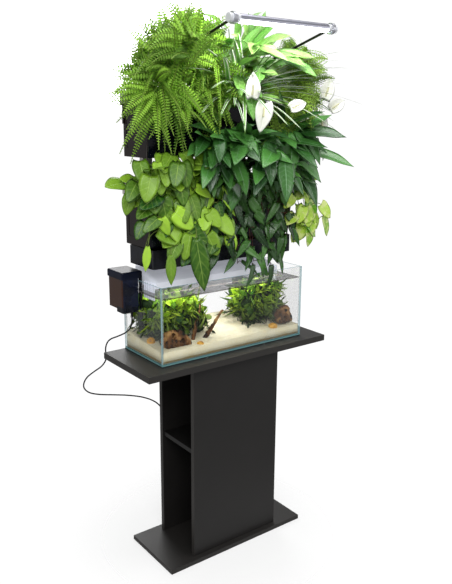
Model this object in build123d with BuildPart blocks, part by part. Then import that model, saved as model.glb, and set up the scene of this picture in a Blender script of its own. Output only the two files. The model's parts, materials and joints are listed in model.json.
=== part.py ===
"""Aquarium on a column stand, with a planted wall above it that the tank's own water feeds.

Millimetres. X runs along the tank, Y towards the back, Z up. The origin is on the floor,
under the middle of the stand. Each sub-part is written to parts/ as its own STEP file.
"""

import os
from math import atan2, cos, hypot, pi, radians, sin, tan

from build123d import *

os.makedirs("parts", exist_ok=True)

# ---------------------------------------------------------------- driving dimensions: stand
BASE_LENGTH = 590.0
BASE_DEPTH = 264.0
BASE_THICKNESS = 16.0
TOP_LENGTH = 760.0
TOP_DEPTH = 300.0
TOP_THICKNESS = 22.0
STAND_HEIGHT = 748.0
COLUMN_LENGTH = 370.0
COLUMN_DEPTH = 220.0
PANEL_THICKNESS = 18.0
DIVIDER_THICKNESS = 16.0
SHELF_THICKNESS = 16.0
SHELF_TOP = 420.0
SHELF_SETBACK = 6.0
SHELF_CLEARANCE = 0.5
BOARD_EDGE = 0.8

SCREW_RADIUS = 3.0
SCREW_HEAD_RADIUS = 5.5
SCREW_REACH = 34.0
SCREW_TIP_GAP = 1.0
SCREW_INSET = 60.0
DIVIDER_SCREW_SPACING = 90.0
PIN_RADIUS = 2.5
PIN_LENGTH = 16.0
PIN_DEPTH = 8.0
PIN_INSET = 30.0

# ---------------------------------------------------------------- driving dimensions: tank
TANK_LENGTH = 600.0
TANK_DEPTH = 245.0
TANK_HEIGHT = 260.0
GLASS = 5.0
TANK_CENTRE_Y = 22.0
MAT_THICKNESS = 3.0
PANE_POLISH = 0.5
SEAM_LEG = 4.0
SEAM_TOP_GAP = 2.0
CONTENT_CLEARANCE = 0.4
SAND_FRONT = 36.0
SAND_MIDDLE = 40.0
SAND_BACK = 62.0

# ---------------------------------------------------------------- driving dimensions: wall
WALL_CENTRE_X = 10.0
POST_SPACING = 400.0
POST_WIDTH = 36.0
POST_DEPTH = 24.0
POST_BOTTOM = STAND_HEIGHT - 88.0
POST_TOP = STAND_HEIGHT + 952.0
RAIL_LENGTH = 600.0
RAIL_HEIGHT = 45.0
RAIL_DEPTH = 18.0
RAIL_SCREW_RADIUS = 2.5
BRACKET_LEG = 36.0
BRACKET_THICKNESS = 4.0
BOLT_RADIUS = 3.0
BOLT_HEAD_RADIUS = 5.5
BOLT_HEAD_HEIGHT = 3.5

PLANTER_LENGTH = 600.0
PLANTER_HEIGHT = 165.0
PLANTER_TOP_DEPTH = 165.0
PLANTER_BOTTOM_DEPTH = 142.0
PLANTER_WALL = 2.5
PLANTER_BACK_Y = 130.0
PLANTER_CORNER = 9.0
POCKETS = 3
UPPER_RIM = STAND_HEIGHT + 825.0
LOWER_RIM = STAND_HEIGHT + 540.0
FLANGE_HEIGHT = 62.0
FLANGE_DEPTH = 8.0
FLANGE_PROUD = 4.0
EMBOSS_DEPTH = 1.2
EMBOSS_WIDTH = 58.0
EMBOSS_END_WIDTH = 106.0
EMBOSS_HEIGHT = 102.0
EMBOSS_CENTRE_DROP = 86.0
LUG_WIDTH = 36.0
LUG_OFFSET = 255.0
LUG_RISE = 40.0
LUG_DROP = 12.0
LUG_CLEARANCE = 0.5
DRAIN_RADIUS = 6.0
DRAIN_WALL = 2.0
DRAIN_DROP = 12.0
SUBSTRATE_BELOW_RIM = 16.0
SUBSTRATE_CLEARANCE = 0.3

TRAY_LENGTH = 588.0
TRAY_DEPTH = 155.0
TRAY_TOP = STAND_HEIGHT + 370.0
TRAY_BOTTOM = STAND_HEIGHT + 308.0
TRAY_FRONT_Y = -30.0

# ---------------------------------------------------------------- driving dimensions: drip hood
HOOD_LENGTH = 524.0
HOOD_WALL = 2.5
HOOD_TOP = STAND_HEIGHT + 297.0
HOOD_BOTTOM = STAND_HEIGHT + 237.0
HOOD_CREASE = (52.0, STAND_HEIGHT + 275.0)
HOOD_BROW = (0.0, STAND_HEIGHT + 256.0)
HOOD_FRONT_Y = -4.0
HOOD_TOP_FRONT_Y = 100.0
HOOD_BACK_GAP = 2.5
HOOD_END_RADIUS = 16.0
COMB_BOTTOM = STAND_HEIGHT + 197.0
COMB_TOP = STAND_HEIGHT + 253.0
COMB_DEPTH = 62.0
COMB_THICKNESS = 3.0
COMB_RIBS = 6
COMB_RIB = 2.5
HOOK_WIDTH = 20.0
HOOK_OFFSET = 120.0
HOOK_THICKNESS = 2.2
HOOK_DROP = 16.0

# ---------------------------------------------------------------- driving dimensions: filter
FILTER_WIDTH = 58.0
FILTER_LENGTH = 100.0
FILTER_CENTRE_Y = 87.0
FILTER_GAP = 3.0
FILTER_TOP = STAND_HEIGHT + 272.0
FILTER_FLOOR = STAND_HEIGHT + 170.0
FILTER_WALL = 2.5
FILTER_CORNER = 9.0
MOTOR_LENGTH = 43.0
MOTOR_TOP = STAND_HEIGHT + 178.0
MOTOR_BOTTOM = STAND_HEIGHT + 158.0
WELL_RADIUS = 8.0
WELL_DEPTH = 15.5
ROTOR_CLEARANCE = 0.8
ROTOR_VANES = 4
ROTOR_VANE_THICKNESS = 1.2
SHAFT_RADIUS = 1.2
SHAFT_CLEARANCE = 0.05
INTAKE_RADIUS = 6.0
INTAKE_BEND = 17.0
INTAKE_WALL = 1.2
INTAKE_BOTTOM = STAND_HEIGHT + 118.0
STRAINER_RADIUS = 8.0
STRAINER_HEIGHT = 46.0
STRAINER_SLOTS = 8
SPONGE_TOP = STAND_HEIGHT + 240.0
SPILL_WIDTH = 42.0
SPILL_CENTRE_Y = 110.0
SPILL_RIM_GAP = 0.6
LID_HEIGHT = 24.0
LID_WALL = 2.0
LID_OVERHANG = 3.0
LID_TANK_REACH = 16.0
LID_TRAY_GAP = 2.0
LID_CORNER = 8.0

# ---------------------------------------------------------------- driving dimensions: pump and riser
PUMP_LENGTH = 38.0
PUMP_DEPTH = 40.0
PUMP_HEIGHT = 46.0
PUMP_BOTTOM = STAND_HEIGHT + 58.0
PUMP_SLOT_PITCH = 4.8
PUMP_CENTRE_X = 271.0
PUMP_CENTRE_Y = 112.0
RISER_X = 279.0
RISER_OUTSIDE_X = 334.0
RISER_RADIUS = 7.0
RISER_WALL = 1.5
RISER_BEND = 20.0
RISER_TURN_Z = STAND_HEIGHT + 276.0
DRIP_PIPE_Z = STAND_HEIGHT + 850.0
DRIP_HOLES = 9
DRIP_HOLE_RADIUS = 1.6

# ---------------------------------------------------------------- driving dimensions: light
LIGHT_Y = -300.0
LIGHT_Z = STAND_HEIGHT + 1049.0
LIGHT_LENGTH = 340.0
LIGHT_RADIUS = 13.0
LIGHT_WALL = 1.6
LIGHT_END_LENGTH = 36.0
DIFFUSER_ANGLE = 150.0
INLET_RADIUS = 4.0
INLET_LENGTH = 8.0
ARM_SPACING = 376.0
ARM_RADIUS = 4.0
ARM_PIVOT_Y = 134.0
ARM_PIVOT_Z = STAND_HEIGHT + 932.0
ARM_EYE_RADIUS = 9.0
ARM_EYE_WIDTH = 9.0
ARM_RING_WIDTH = 12.0
ARM_RING_WALL = 3.5
RUNNING_FIT = 0.05
EAR_THICKNESS = 3.5
EAR_SIDE_GAP = 0.4
PIVOT_RADIUS = 3.0
ARM_SLOT_HALF = 13.0
ARM_SLOT_DROP = 16.0

# ---------------------------------------------------------------- driving dimensions: mains cord
CORD_RADIUS = 2.5
CORNER_SHARE = 0.45
SOCKET_RADIUS = 3.25
RELIEF_RADIUS = 4.5
PLUG_LENGTH = 36.0
PLUG_WIDTH = 26.0
PLUG_HEIGHT = 14.0
PLUG_TAIL = 14.0
PRONG_RADIUS = 2.0
PRONG_LENGTH = 19.0
PRONG_SPACING = 19.0
CLIP_HEIGHT = 8.0
CLIP_GAP = 2.0
CLIP_WALL = 2.0

# ---------------------------------------------------------------- driving dimensions: plants
PLANT_GAP = 3.0
ROOT_RADIUS = 6.0
ROOT_HEIGHT = 56.0
SPIDER_TOP = STAND_HEIGHT + 954.0

# ---------------------------------------------------------------- derived levels and faces
TOP_UNDERSIDE = STAND_HEIGHT - TOP_THICKNESS
COLUMN_HEIGHT = TOP_UNDERSIDE - BASE_THICKNESS
PANEL_Y = (COLUMN_DEPTH - PANEL_THICKNESS) / 2
PANEL_INNER_Y = COLUMN_DEPTH / 2 - PANEL_THICKNESS
TANK_FLOOR = STAND_HEIGHT + MAT_THICKNESS
GLASS_FLOOR = TANK_FLOOR + GLASS
TANK_RIM = TANK_FLOOR + TANK_HEIGHT
INNER_LENGTH = TANK_LENGTH - 2 * GLASS
INNER_DEPTH = TANK_DEPTH - 2 * GLASS
INNER_BACK_Y = TANK_CENTRE_Y + INNER_DEPTH / 2
INNER_FRONT_Y = TANK_CENTRE_Y - INNER_DEPTH / 2
POST_FRONT_Y = TOP_DEPTH / 2
POST_XS = (WALL_CENTRE_X - POST_SPACING / 2, WALL_CENTRE_X + POST_SPACING / 2)
ARM_XS = (WALL_CENTRE_X - ARM_SPACING / 2, WALL_CENTRE_X + ARM_SPACING / 2)
FILTER_RIGHT_X = -TANK_LENGTH / 2 - FILTER_GAP
FILTER_LEFT_X = FILTER_RIGHT_X - FILTER_WIDTH
FILTER_FRONT_Y = FILTER_CENTRE_Y - FILTER_LENGTH / 2
FILTER_BACK_Y = FILTER_CENTRE_Y + FILTER_LENGTH / 2
MOTOR_BACK_Y = FILTER_FRONT_Y + MOTOR_LENGTH
ROTOR_X = FILTER_RIGHT_X - WELL_RADIUS - 2 * FILTER_WALL
ROTOR_Y = FILTER_FRONT_Y + MOTOR_LENGTH / 2
ON_BASE = (Align.CENTER, Align.CENTER, Align.MIN)


def save(part: Part, label: str) -> None:
    """Label a finished piece and write it as its own STEP file."""
    part.label = label
    export_step(part, f"parts/{label}.step")


def board(length: float, depth: float, height: float, place: tuple) -> BuildPart:
    """Make one laminated board, softened along every edge, with its underside centre at place."""
    with BuildPart() as made:
        with Locations(place):
            Box(length, depth, height, align=ON_BASE)
        fillet(made.edges(), BOARD_EDGE)
    return made


def block(x: tuple, y: tuple, z: tuple) -> Part:
    """A plain block between two corners, for use as a cutting or joining tool."""
    with BuildPart() as made:
        with Locations(((x[0] + x[1]) / 2, (y[0] + y[1]) / 2, (z[0] + z[1]) / 2)):
            Box(x[1] - x[0], y[1] - y[0], z[1] - z[0])
    return made.part


def downward(x: float, y: float, z: float) -> Plane:
    """A plane at a point, facing the floor."""
    return Plane((x, y, z), x_dir=(1, 0, 0), z_dir=(0, 0, -1))


# ================================================================ the stand
SCREW_XY = [
    (x, y)
    for x in (-COLUMN_LENGTH / 2 + SCREW_INSET, COLUMN_LENGTH / 2 - SCREW_INSET)
    for y in (-PANEL_Y, PANEL_Y)
] + [(0.0, -DIVIDER_SCREW_SPACING / 2), (0.0, DIVIDER_SCREW_SPACING / 2)]


def screw_bores(xy: list) -> None:
    """Cut the blind bores for the column's screws into the piece being made, top and bottom."""
    depth = SCREW_REACH + SCREW_TIP_GAP
    for x, y in xy:
        with Locations((x, y, BASE_THICKNESS)):
            Cylinder(SCREW_RADIUS, depth, align=ON_BASE, mode=Mode.SUBTRACT)
        with Locations((x, y, TOP_UNDERSIDE - depth)):
            Cylinder(SCREW_RADIUS, depth, align=ON_BASE, mode=Mode.SUBTRACT)


with BuildPart() as base_board:
    add(board(BASE_LENGTH, BASE_DEPTH, BASE_THICKNESS, (0, 0, 0)).part)
    for x, y in SCREW_XY:
        with Locations(downward(x, y, 0)):
            CounterSinkHole(SCREW_RADIUS, SCREW_HEAD_RADIUS, BASE_THICKNESS, counter_sink_angle=90)
save(base_board.part, "base_board")

with BuildPart() as top_board:
    add(board(TOP_LENGTH, TOP_DEPTH, TOP_THICKNESS, (0, 0, TOP_UNDERSIDE)).part)
    for x, y in SCREW_XY:
        with Locations((x, y, STAND_HEIGHT)):
            CounterSinkHole(SCREW_RADIUS, SCREW_HEAD_RADIUS, TOP_THICKNESS, counter_sink_angle=90)
    for x in POST_XS:
        with Locations(Plane((x, TOP_DEPTH / 2, STAND_HEIGHT - TOP_THICKNESS / 2), z_dir=(0, 1, 0))):
            Hole(BOLT_RADIUS, SCREW_REACH + SCREW_TIP_GAP)
save(top_board.part, "top_board")

for side, label in ((-1, "front_panel"), (1, "back_panel")):
    with BuildPart() as panel:
        add(board(COLUMN_LENGTH, PANEL_THICKNESS, COLUMN_HEIGHT, (0, side * PANEL_Y, BASE_THICKNESS)).part)
        screw_bores([xy for xy in SCREW_XY if xy[1] == side * PANEL_Y])
        shelf_middle = (DIVIDER_THICKNESS + COLUMN_LENGTH - 2 * SHELF_SETBACK) / 4
        pin_reach = COLUMN_LENGTH / 4 - PIN_INSET
        for x_side in (-1, 1):
            for pin_x in (shelf_middle - pin_reach, shelf_middle + pin_reach):
                pin_z = SHELF_TOP - SHELF_THICKNESS - PIN_RADIUS
                inner = Plane((x_side * pin_x, side * PANEL_INNER_Y, pin_z), z_dir=(0, -side, 0))
                with Locations(inner):
                    Hole(PIN_RADIUS, PIN_DEPTH)
    save(panel.part, label)

with BuildPart() as centre_divider:
    add(board(DIVIDER_THICKNESS, 2 * PANEL_INNER_Y, COLUMN_HEIGHT, (0, 0, BASE_THICKNESS)).part)
    screw_bores([xy for xy in SCREW_XY if xy[0] == 0.0])
save(centre_divider.part, "centre_divider")

SHELF_LENGTH = COLUMN_LENGTH / 2 - DIVIDER_THICKNESS / 2 - SHELF_SETBACK
for side, label in ((-1, "shelf_left"), (1, "shelf_right")):
    shelf_x = side * (DIVIDER_THICKNESS + SHELF_LENGTH) / 2
    shelf_depth = 2 * (PANEL_INNER_Y - SHELF_CLEARANCE)
    shelf = board(SHELF_LENGTH, shelf_depth, SHELF_THICKNESS, (shelf_x, 0, SHELF_TOP - SHELF_THICKNESS))
    save(shelf.part, label)

with BuildPart() as shelf_pins:
    for x_side in (-1, 1):
        for pin_x in (shelf_middle - pin_reach, shelf_middle + pin_reach):
            for y_side in (-1, 1):
                start = (x_side * pin_x, y_side * (PANEL_INNER_Y + PIN_DEPTH), pin_z)
                with BuildSketch(Plane(start, z_dir=(0, -y_side, 0))):
                    Circle(PIN_RADIUS)
                extrude(amount=PIN_LENGTH)
save(shelf_pins.part, "shelf_pins")

with BuildPart() as screw_form:
    with BuildSketch(Plane.XZ):
        with BuildLine():
            Polyline(
                (0, 0),
                (SCREW_HEAD_RADIUS, 0),
                (SCREW_RADIUS, SCREW_HEAD_RADIUS - SCREW_RADIUS),
                (SCREW_RADIUS, BASE_THICKNESS + SCREW_REACH),
                (0, BASE_THICKNESS + SCREW_REACH),
                close=True,
            )
        make_face()
    revolve(axis=Axis.Z)

with BuildPart() as panel_screws:
    for x, y in SCREW_XY:
        add(Pos(x, y, 0) * screw_form.part)
        flipped = Pos(x, y, STAND_HEIGHT) * Rot(180, 0, 0) * screw_form.part
        add(flipped)
save(panel_screws.part, "panel_screws")

# ================================================================ the tank
with BuildPart() as tank_mat:
    with Locations((0, TANK_CENTRE_Y, STAND_HEIGHT)):
        Box(TANK_LENGTH, TANK_DEPTH, MAT_THICKNESS, align=ON_BASE)
save(tank_mat.part, "tank_mat")

PANE_HEIGHT = TANK_HEIGHT - GLASS
SIDE_PANE_X = (INNER_LENGTH + GLASS) / 2
PANES = {
    "tank_bottom": (TANK_LENGTH, TANK_DEPTH, GLASS, 0, TANK_CENTRE_Y, TANK_FLOOR),
    "tank_front": (TANK_LENGTH, GLASS, PANE_HEIGHT, 0, INNER_FRONT_Y - GLASS / 2, GLASS_FLOOR),
    "tank_back": (TANK_LENGTH, GLASS, PANE_HEIGHT, 0, INNER_BACK_Y + GLASS / 2, GLASS_FLOOR),
    "tank_left": (GLASS, INNER_DEPTH, PANE_HEIGHT, -SIDE_PANE_X, TANK_CENTRE_Y, GLASS_FLOOR),
    "tank_right": (GLASS, INNER_DEPTH, PANE_HEIGHT, SIDE_PANE_X, TANK_CENTRE_Y, GLASS_FLOOR),
}
for label, (length, depth, height, x, y, z) in PANES.items():
    with BuildPart() as pane:
        with Locations((x, y, z)):
            Box(length, depth, height, align=ON_BASE)
        chamfer(pane.edges().group_by(Axis.Z)[-1], PANE_POLISH)
    save(pane.part, label)


def cavity(clearance: float, top: float) -> Part:
    """The tank's inside up to a level, with its corners cut for the silicone beads."""
    with BuildPart() as inside:
        with Locations((0, TANK_CENTRE_Y, GLASS_FLOOR + clearance)):
            Box(
                INNER_LENGTH - 2 * clearance,
                INNER_DEPTH - 2 * clearance,
                top - GLASS_FLOOR - clearance,
                align=ON_BASE,
            )
        upright = inside.edges().filter_by(Axis.Z)
        lowest = inside.edges().group_by(Axis.Z)[0]
        chamfer(upright + lowest, SEAM_LEG)
    return inside.part


SEAM_TOP = TANK_RIM - SEAM_TOP_GAP
with BuildPart() as silicone_seams:
    with Locations((0, TANK_CENTRE_Y, GLASS_FLOOR)):
        Box(INNER_LENGTH, INNER_DEPTH, SEAM_TOP - GLASS_FLOOR, align=ON_BASE)
    add(cavity(0.0, SEAM_TOP), mode=Mode.SUBTRACT)
save(silicone_seams.part, "silicone_seams")

with BuildPart() as sand_bed:
    add(cavity(CONTENT_CLEARANCE, TANK_RIM))
    with BuildSketch(Plane.YZ):
        with BuildLine():
            surface = Spline(
                (INNER_FRONT_Y - GLASS, GLASS_FLOOR + SAND_FRONT),
                (TANK_CENTRE_Y, GLASS_FLOOR + SAND_MIDDLE),
                (INNER_BACK_Y + GLASS, GLASS_FLOOR + SAND_BACK),
            )
            Polyline(
                surface @ 0,
                (INNER_FRONT_Y - GLASS, TANK_FLOOR),
                (INNER_BACK_Y + GLASS, TANK_FLOOR),
                surface @ 1,
            )
        make_face()
    extrude(amount=TANK_LENGTH / 2, both=True, mode=Mode.INTERSECT)
save(sand_bed.part, "sand_bed")


def hull_sketch(circles: list) -> Sketch:
    """The rubber-band outline round circles, each (across, height above the stand's top, radius)."""
    with BuildSketch() as outline:
        with BuildLine():
            for across, up, radius in circles:
                CenterArc((across, STAND_HEIGHT + up), radius, 0, 360)
        make_hull()
    return outline.sketch


def mass(front: list, side: list) -> Part:
    """A soft closed mass that has one hull outline from the front and another from the side."""
    with BuildPart() as made:
        with BuildSketch(Plane.XZ):
            add(hull_sketch(front))
        extrude(amount=TOP_LENGTH, both=True)
        with BuildSketch(Plane.YZ):
            add(hull_sketch(side))
        extrude(amount=TOP_LENGTH, both=True, mode=Mode.INTERSECT)
    return made.part


ROOT_LEFT = [(-244, 58, 20), (-216, 82, 27), (-182, 56, 18)]
ROOT_LEFT_SIDE = [(-52, 56, 20), (-38, 80, 18)]
ROOT_RIGHT = [(230, 64, 14), (264, 100, 15), (268, 64, 15)]
ROOT_RIGHT_SIDE = [(-62, 58, 18), (-50, 96, 15)]
ROOT_HOLES = {
    "driftwood_left": [(-226, 82, 9.0), (-206, 94, 5.5), (-196, 64, 7.0)],
    "driftwood_right": [(260, 94, 5.5), (250, 68, 7.0)],
}
BRANCHES = {
    "driftwood_left": [
        ((-92, -34, 38), (0.62, -0.05, 0.78), 125.0, 9.0, 5.0),
        ((-138, -34, 40), (0.30, 0.05, 0.95), 130.0, 8.0, 4.0),
    ],
    "driftwood_right": [],
}
for label, front, side in (
    ("driftwood_left", ROOT_LEFT, ROOT_LEFT_SIDE),
    ("driftwood_right", ROOT_RIGHT, ROOT_RIGHT_SIDE),
):
    with BuildPart() as driftwood:
        add(mass(front, side))
        for x, up, radius in ROOT_HOLES[label]:
            with BuildSketch(Plane.XZ):
                with Locations((x, STAND_HEIGHT + up)):
                    Circle(radius)
            extrude(amount=TANK_DEPTH, both=True, mode=Mode.SUBTRACT)
        for (x, y, up), lean, length, thick, thin in BRANCHES[label]:
            along = Plane((x, y, STAND_HEIGHT + up), z_dir=lean)
            with BuildSketch(along):
                Circle(thick)
            with BuildSketch(along.offset(length)):
                Circle(thin)
            loft()
    save(driftwood.part, label)

PEBBLES = [(-274, 12, 54, 15.0, 17.0), (190, -74, 48, 17.0, 13.0), (-134, -76, 45, 13.0, 8.0)]


def pebble(radius: float, half_height: float) -> Part:
    """A rounded stone about the origin, flattened or drawn up along Z."""
    with BuildPart() as stone:
        Sphere(radius)
        scale(by=(1, 1, half_height / radius))
    return stone.part


with BuildPart() as pebbles:
    for x, y, up, radius, half_height in PEBBLES:
        add(Pos(x, y, STAND_HEIGHT + up) * pebble(radius, half_height))
save(pebbles.part, "pebbles")

WATER_PLANTS = {
    "water_plants_left": (
        [(-238, 82, 26), (-238, 160, 24), (-150, 182, 26), (-96, 152, 22), (-84, 78, 22)],
        [(66, 86, 48), (70, 152, 50)],
    ),
    "water_plants_right": (
        [(76, 82, 22), (96, 162, 24), (160, 178, 26), (206, 152, 24), (208, 82, 24)],
        [(60, 86, 46), (66, 152, 48)],
    ),
}
for label, (front, side) in WATER_PLANTS.items():
    with BuildPart() as water_plants:
        add(mass(front, side))
    save(water_plants.part, label)

# ================================================================ drip hood over the back of the tank
HOOD_BACK_Y = INNER_BACK_Y - HOOD_BACK_GAP


def hood_form(inset: float) -> Part:
    """The hood's outer form, or the hollow under it where inset is the wall."""
    floor = HOOD_BOTTOM - 2 * inset
    with BuildPart() as form:
        with BuildSketch(Plane.YZ):
            with BuildLine():
                Polyline(
                    (HOOD_BACK_Y, floor),
                    (HOOD_BACK_Y, HOOD_TOP),
                    (HOOD_TOP_FRONT_Y, HOOD_TOP),
                    HOOD_CREASE,
                    HOOD_BROW,
                    (HOOD_FRONT_Y, floor),
                    close=True,
                )
            make_face()
            if inset:
                offset(amount=-inset)
        extrude(amount=HOOD_LENGTH / 2 - inset, both=True)
        ends = form.faces().sort_by(Axis.X)
        end_edges = ends[0].edges() + ends[-1].edges()
        upper_edges = end_edges.filter_by(lambda e: e.center().Z > HOOD_BROW[1] - inset)
        fillet(upper_edges, HOOD_END_RADIUS - inset)
    return form.part


with BuildPart() as drip_hood:
    add(hood_form(0.0))
    add(hood_form(HOOD_WALL), mode=Mode.SUBTRACT)
    for side in (-1, 1):
        inner_x = side * HOOD_LENGTH / 2
        outer_x = inner_x + side * COMB_THICKNESS
        comb_y = HOOD_BROW[0]
        add(block(sorted((inner_x, outer_x)), (comb_y, comb_y + COMB_DEPTH), (COMB_BOTTOM, COMB_TOP)))
        rib_pitch = (COMB_DEPTH - COMB_RIB) / (COMB_RIBS - 1)
        for i in range(COMB_RIBS):
            rib_y = comb_y + i * rib_pitch
            rib_x = sorted((outer_x, outer_x + side * COMB_RIB))
            add(block(rib_x, (rib_y, rib_y + COMB_RIB), (COMB_BOTTOM, COMB_TOP)))
    hook_outer_y = INNER_BACK_Y + GLASS + LUG_CLEARANCE
    hook_z = TANK_RIM + LUG_CLEARANCE
    for x in (-HOOK_OFFSET, HOOK_OFFSET):
        hook_x = (x - HOOK_WIDTH / 2, x + HOOK_WIDTH / 2)
        hook_y = (hook_outer_y, hook_outer_y + HOOK_THICKNESS)
        add(block(hook_x, (HOOD_BACK_Y, hook_y[1]), (hook_z, hook_z + HOOK_THICKNESS)))
        add(block(hook_x, hook_y, (hook_z - HOOK_DROP, hook_z)))
save(drip_hood.part, "drip_hood")

# ================================================================ posts, rails and brackets
for x, label in zip(POST_XS, ("post_left", "post_right")):
    with BuildPart() as post:
        with Locations((x, POST_FRONT_Y + POST_DEPTH / 2, POST_BOTTOM)):
            Box(POST_WIDTH, POST_DEPTH, POST_TOP - POST_BOTTOM, align=ON_BASE)
        fillet(post.edges(), BOARD_EDGE)
        for z in (STAND_HEIGHT - TOP_THICKNESS / 2, TOP_UNDERSIDE - BRACKET_LEG / 2):
            with Locations(Plane((x, POST_FRONT_Y + POST_DEPTH, z), z_dir=(0, 1, 0))):
                Hole(BOLT_RADIUS, POST_DEPTH)
    save(post.part, label)

with BuildPart() as post_brackets:
    for x in POST_XS:
        add(block(
            (x - POST_WIDTH / 2, x + POST_WIDTH / 2),
            (POST_FRONT_Y - BRACKET_THICKNESS, POST_FRONT_Y),
            (TOP_UNDERSIDE - BRACKET_LEG, TOP_UNDERSIDE),
        ))
        add(block(
            (x - POST_WIDTH / 2, x + POST_WIDTH / 2),
            (POST_FRONT_Y - BRACKET_LEG, POST_FRONT_Y),
            (TOP_UNDERSIDE - BRACKET_THICKNESS, TOP_UNDERSIDE),
        ))
        with Locations(Plane((x, POST_FRONT_Y, TOP_UNDERSIDE - BRACKET_LEG / 2), z_dir=(0, 1, 0))):
            Hole(BOLT_RADIUS, BRACKET_THICKNESS)
save(post_brackets.part, "post_brackets")

RAIL_TOPS = {"rail_upper": UPPER_RIM + LUG_RISE, "rail_lower": LOWER_RIM + LUG_RISE}
for label, top in RAIL_TOPS.items():
    with BuildPart() as rail:
        with Locations((WALL_CENTRE_X, POST_FRONT_Y - RAIL_DEPTH / 2, top - RAIL_HEIGHT)):
            Box(RAIL_LENGTH, RAIL_DEPTH, RAIL_HEIGHT, align=ON_BASE)
        fillet(rail.edges(), BOARD_EDGE)
        for x in POST_XS:
            with Locations(Plane((x, POST_FRONT_Y - RAIL_DEPTH, top - RAIL_HEIGHT / 2), z_dir=(0, -1, 0))):
                Hole(RAIL_SCREW_RADIUS, RAIL_DEPTH)
    save(rail.part, label)


def bolt(start: tuple, direction: tuple, length: float) -> Part:
    """A round-headed bolt whose head sits on a surface at start and whose shank runs along direction."""
    seat = Plane(start, z_dir=direction)
    with BuildPart() as made:
        with BuildSketch(seat):
            Circle(BOLT_RADIUS)
        extrude(amount=length)
        with BuildSketch(seat):
            Circle(BOLT_HEAD_RADIUS)
        extrude(amount=-BOLT_HEAD_HEIGHT)
    return made.part


def rail_screw(start: tuple) -> Part:
    """A plain screw through a rail, flush with its front, that reaches the post's front."""
    with BuildPart() as made:
        with BuildSketch(Plane(start, z_dir=(0, 1, 0))):
            Circle(RAIL_SCREW_RADIUS)
        extrude(amount=RAIL_DEPTH)
    return made.part


with BuildPart() as frame_bolts:
    for x in POST_XS:
        back = POST_FRONT_Y + POST_DEPTH
        add(bolt((x, back, STAND_HEIGHT - TOP_THICKNESS / 2), (0, -1, 0), POST_DEPTH + SCREW_REACH))
        shank = POST_DEPTH + BRACKET_THICKNESS
        add(bolt((x, back, TOP_UNDERSIDE - BRACKET_LEG / 2), (0, -1, 0), shank))
        for top in RAIL_TOPS.values():
            add(rail_screw((x, POST_FRONT_Y - RAIL_DEPTH, top - RAIL_HEIGHT / 2)))
save(frame_bolts.part, "frame_bolts")

# ================================================================ planters
PLANTER_LEFT_X = WALL_CENTRE_X - PLANTER_LENGTH / 2
POCKET_LENGTH = (PLANTER_LENGTH - (POCKETS + 1) * PLANTER_WALL) / POCKETS
POCKET_PITCH = POCKET_LENGTH + PLANTER_WALL
POCKET_XS = [WALL_CENTRE_X + (i - (POCKETS - 1) / 2) * POCKET_PITCH for i in range(POCKETS)]


def trough(rim: float, x: tuple, inset: float, top: float) -> Part:
    """A stretch of the planter's sloping section with rounded front corners, inset from its faces."""
    slope = (PLANTER_TOP_DEPTH - PLANTER_BOTTOM_DEPTH) / PLANTER_HEIGHT
    floor = rim - PLANTER_HEIGHT + inset
    back = PLANTER_BACK_Y - inset
    front_low = PLANTER_BACK_Y - PLANTER_TOP_DEPTH + slope * (rim - floor) + inset
    front_high = PLANTER_BACK_Y - PLANTER_TOP_DEPTH + slope * (rim - top) + inset
    with BuildPart() as form:
        with BuildSketch(Plane.YZ.offset(x[0])):
            with BuildLine():
                Polyline((back, floor), (back, top), (front_high, top), (front_low, floor), close=True)
            make_face()
        extrude(amount=x[1] - x[0])
        along = form.edges().filter_by(Axis.X)
        front_ends = form.faces().sort_by(Axis.Y)[0].edges() - along
        fillet(front_ends, PLANTER_CORNER - inset)
    return form.part


def emboss_panels(rim: float) -> Part:
    """The shallow panels that are sunk into both halves of every pocket's face and into both ends."""
    middle = rim - EMBOSS_CENTRE_DROP
    lean = atan2(PLANTER_TOP_DEPTH - PLANTER_BOTTOM_DEPTH, PLANTER_HEIGHT)
    face_middle_y = PLANTER_BACK_Y - PLANTER_TOP_DEPTH + (rim - middle) * tan(lean)
    facing = Plane((0, face_middle_y, middle), x_dir=(1, 0, 0), z_dir=(0, -cos(lean), -sin(lean)))
    with BuildPart() as panels:
        for x in POCKET_XS:
            with BuildSketch(facing):
                with Locations((x - POCKET_LENGTH / 4, 0), (x + POCKET_LENGTH / 4, 0)):
                    RectangleRounded(EMBOSS_WIDTH, EMBOSS_HEIGHT, PLANTER_CORNER)
            extrude(amount=-EMBOSS_DEPTH)
        for side in (-1, 1):
            end_x = WALL_CENTRE_X + side * PLANTER_LENGTH / 2
            end_y = PLANTER_BACK_Y - PLANTER_BOTTOM_DEPTH / 2
            with BuildSketch(Plane((end_x, end_y, middle), x_dir=(0, 1, 0), z_dir=(side, 0, 0))):
                RectangleRounded(EMBOSS_END_WIDTH, EMBOSS_HEIGHT, PLANTER_CORNER)
            extrude(amount=-EMBOSS_DEPTH)
    return panels.part


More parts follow.
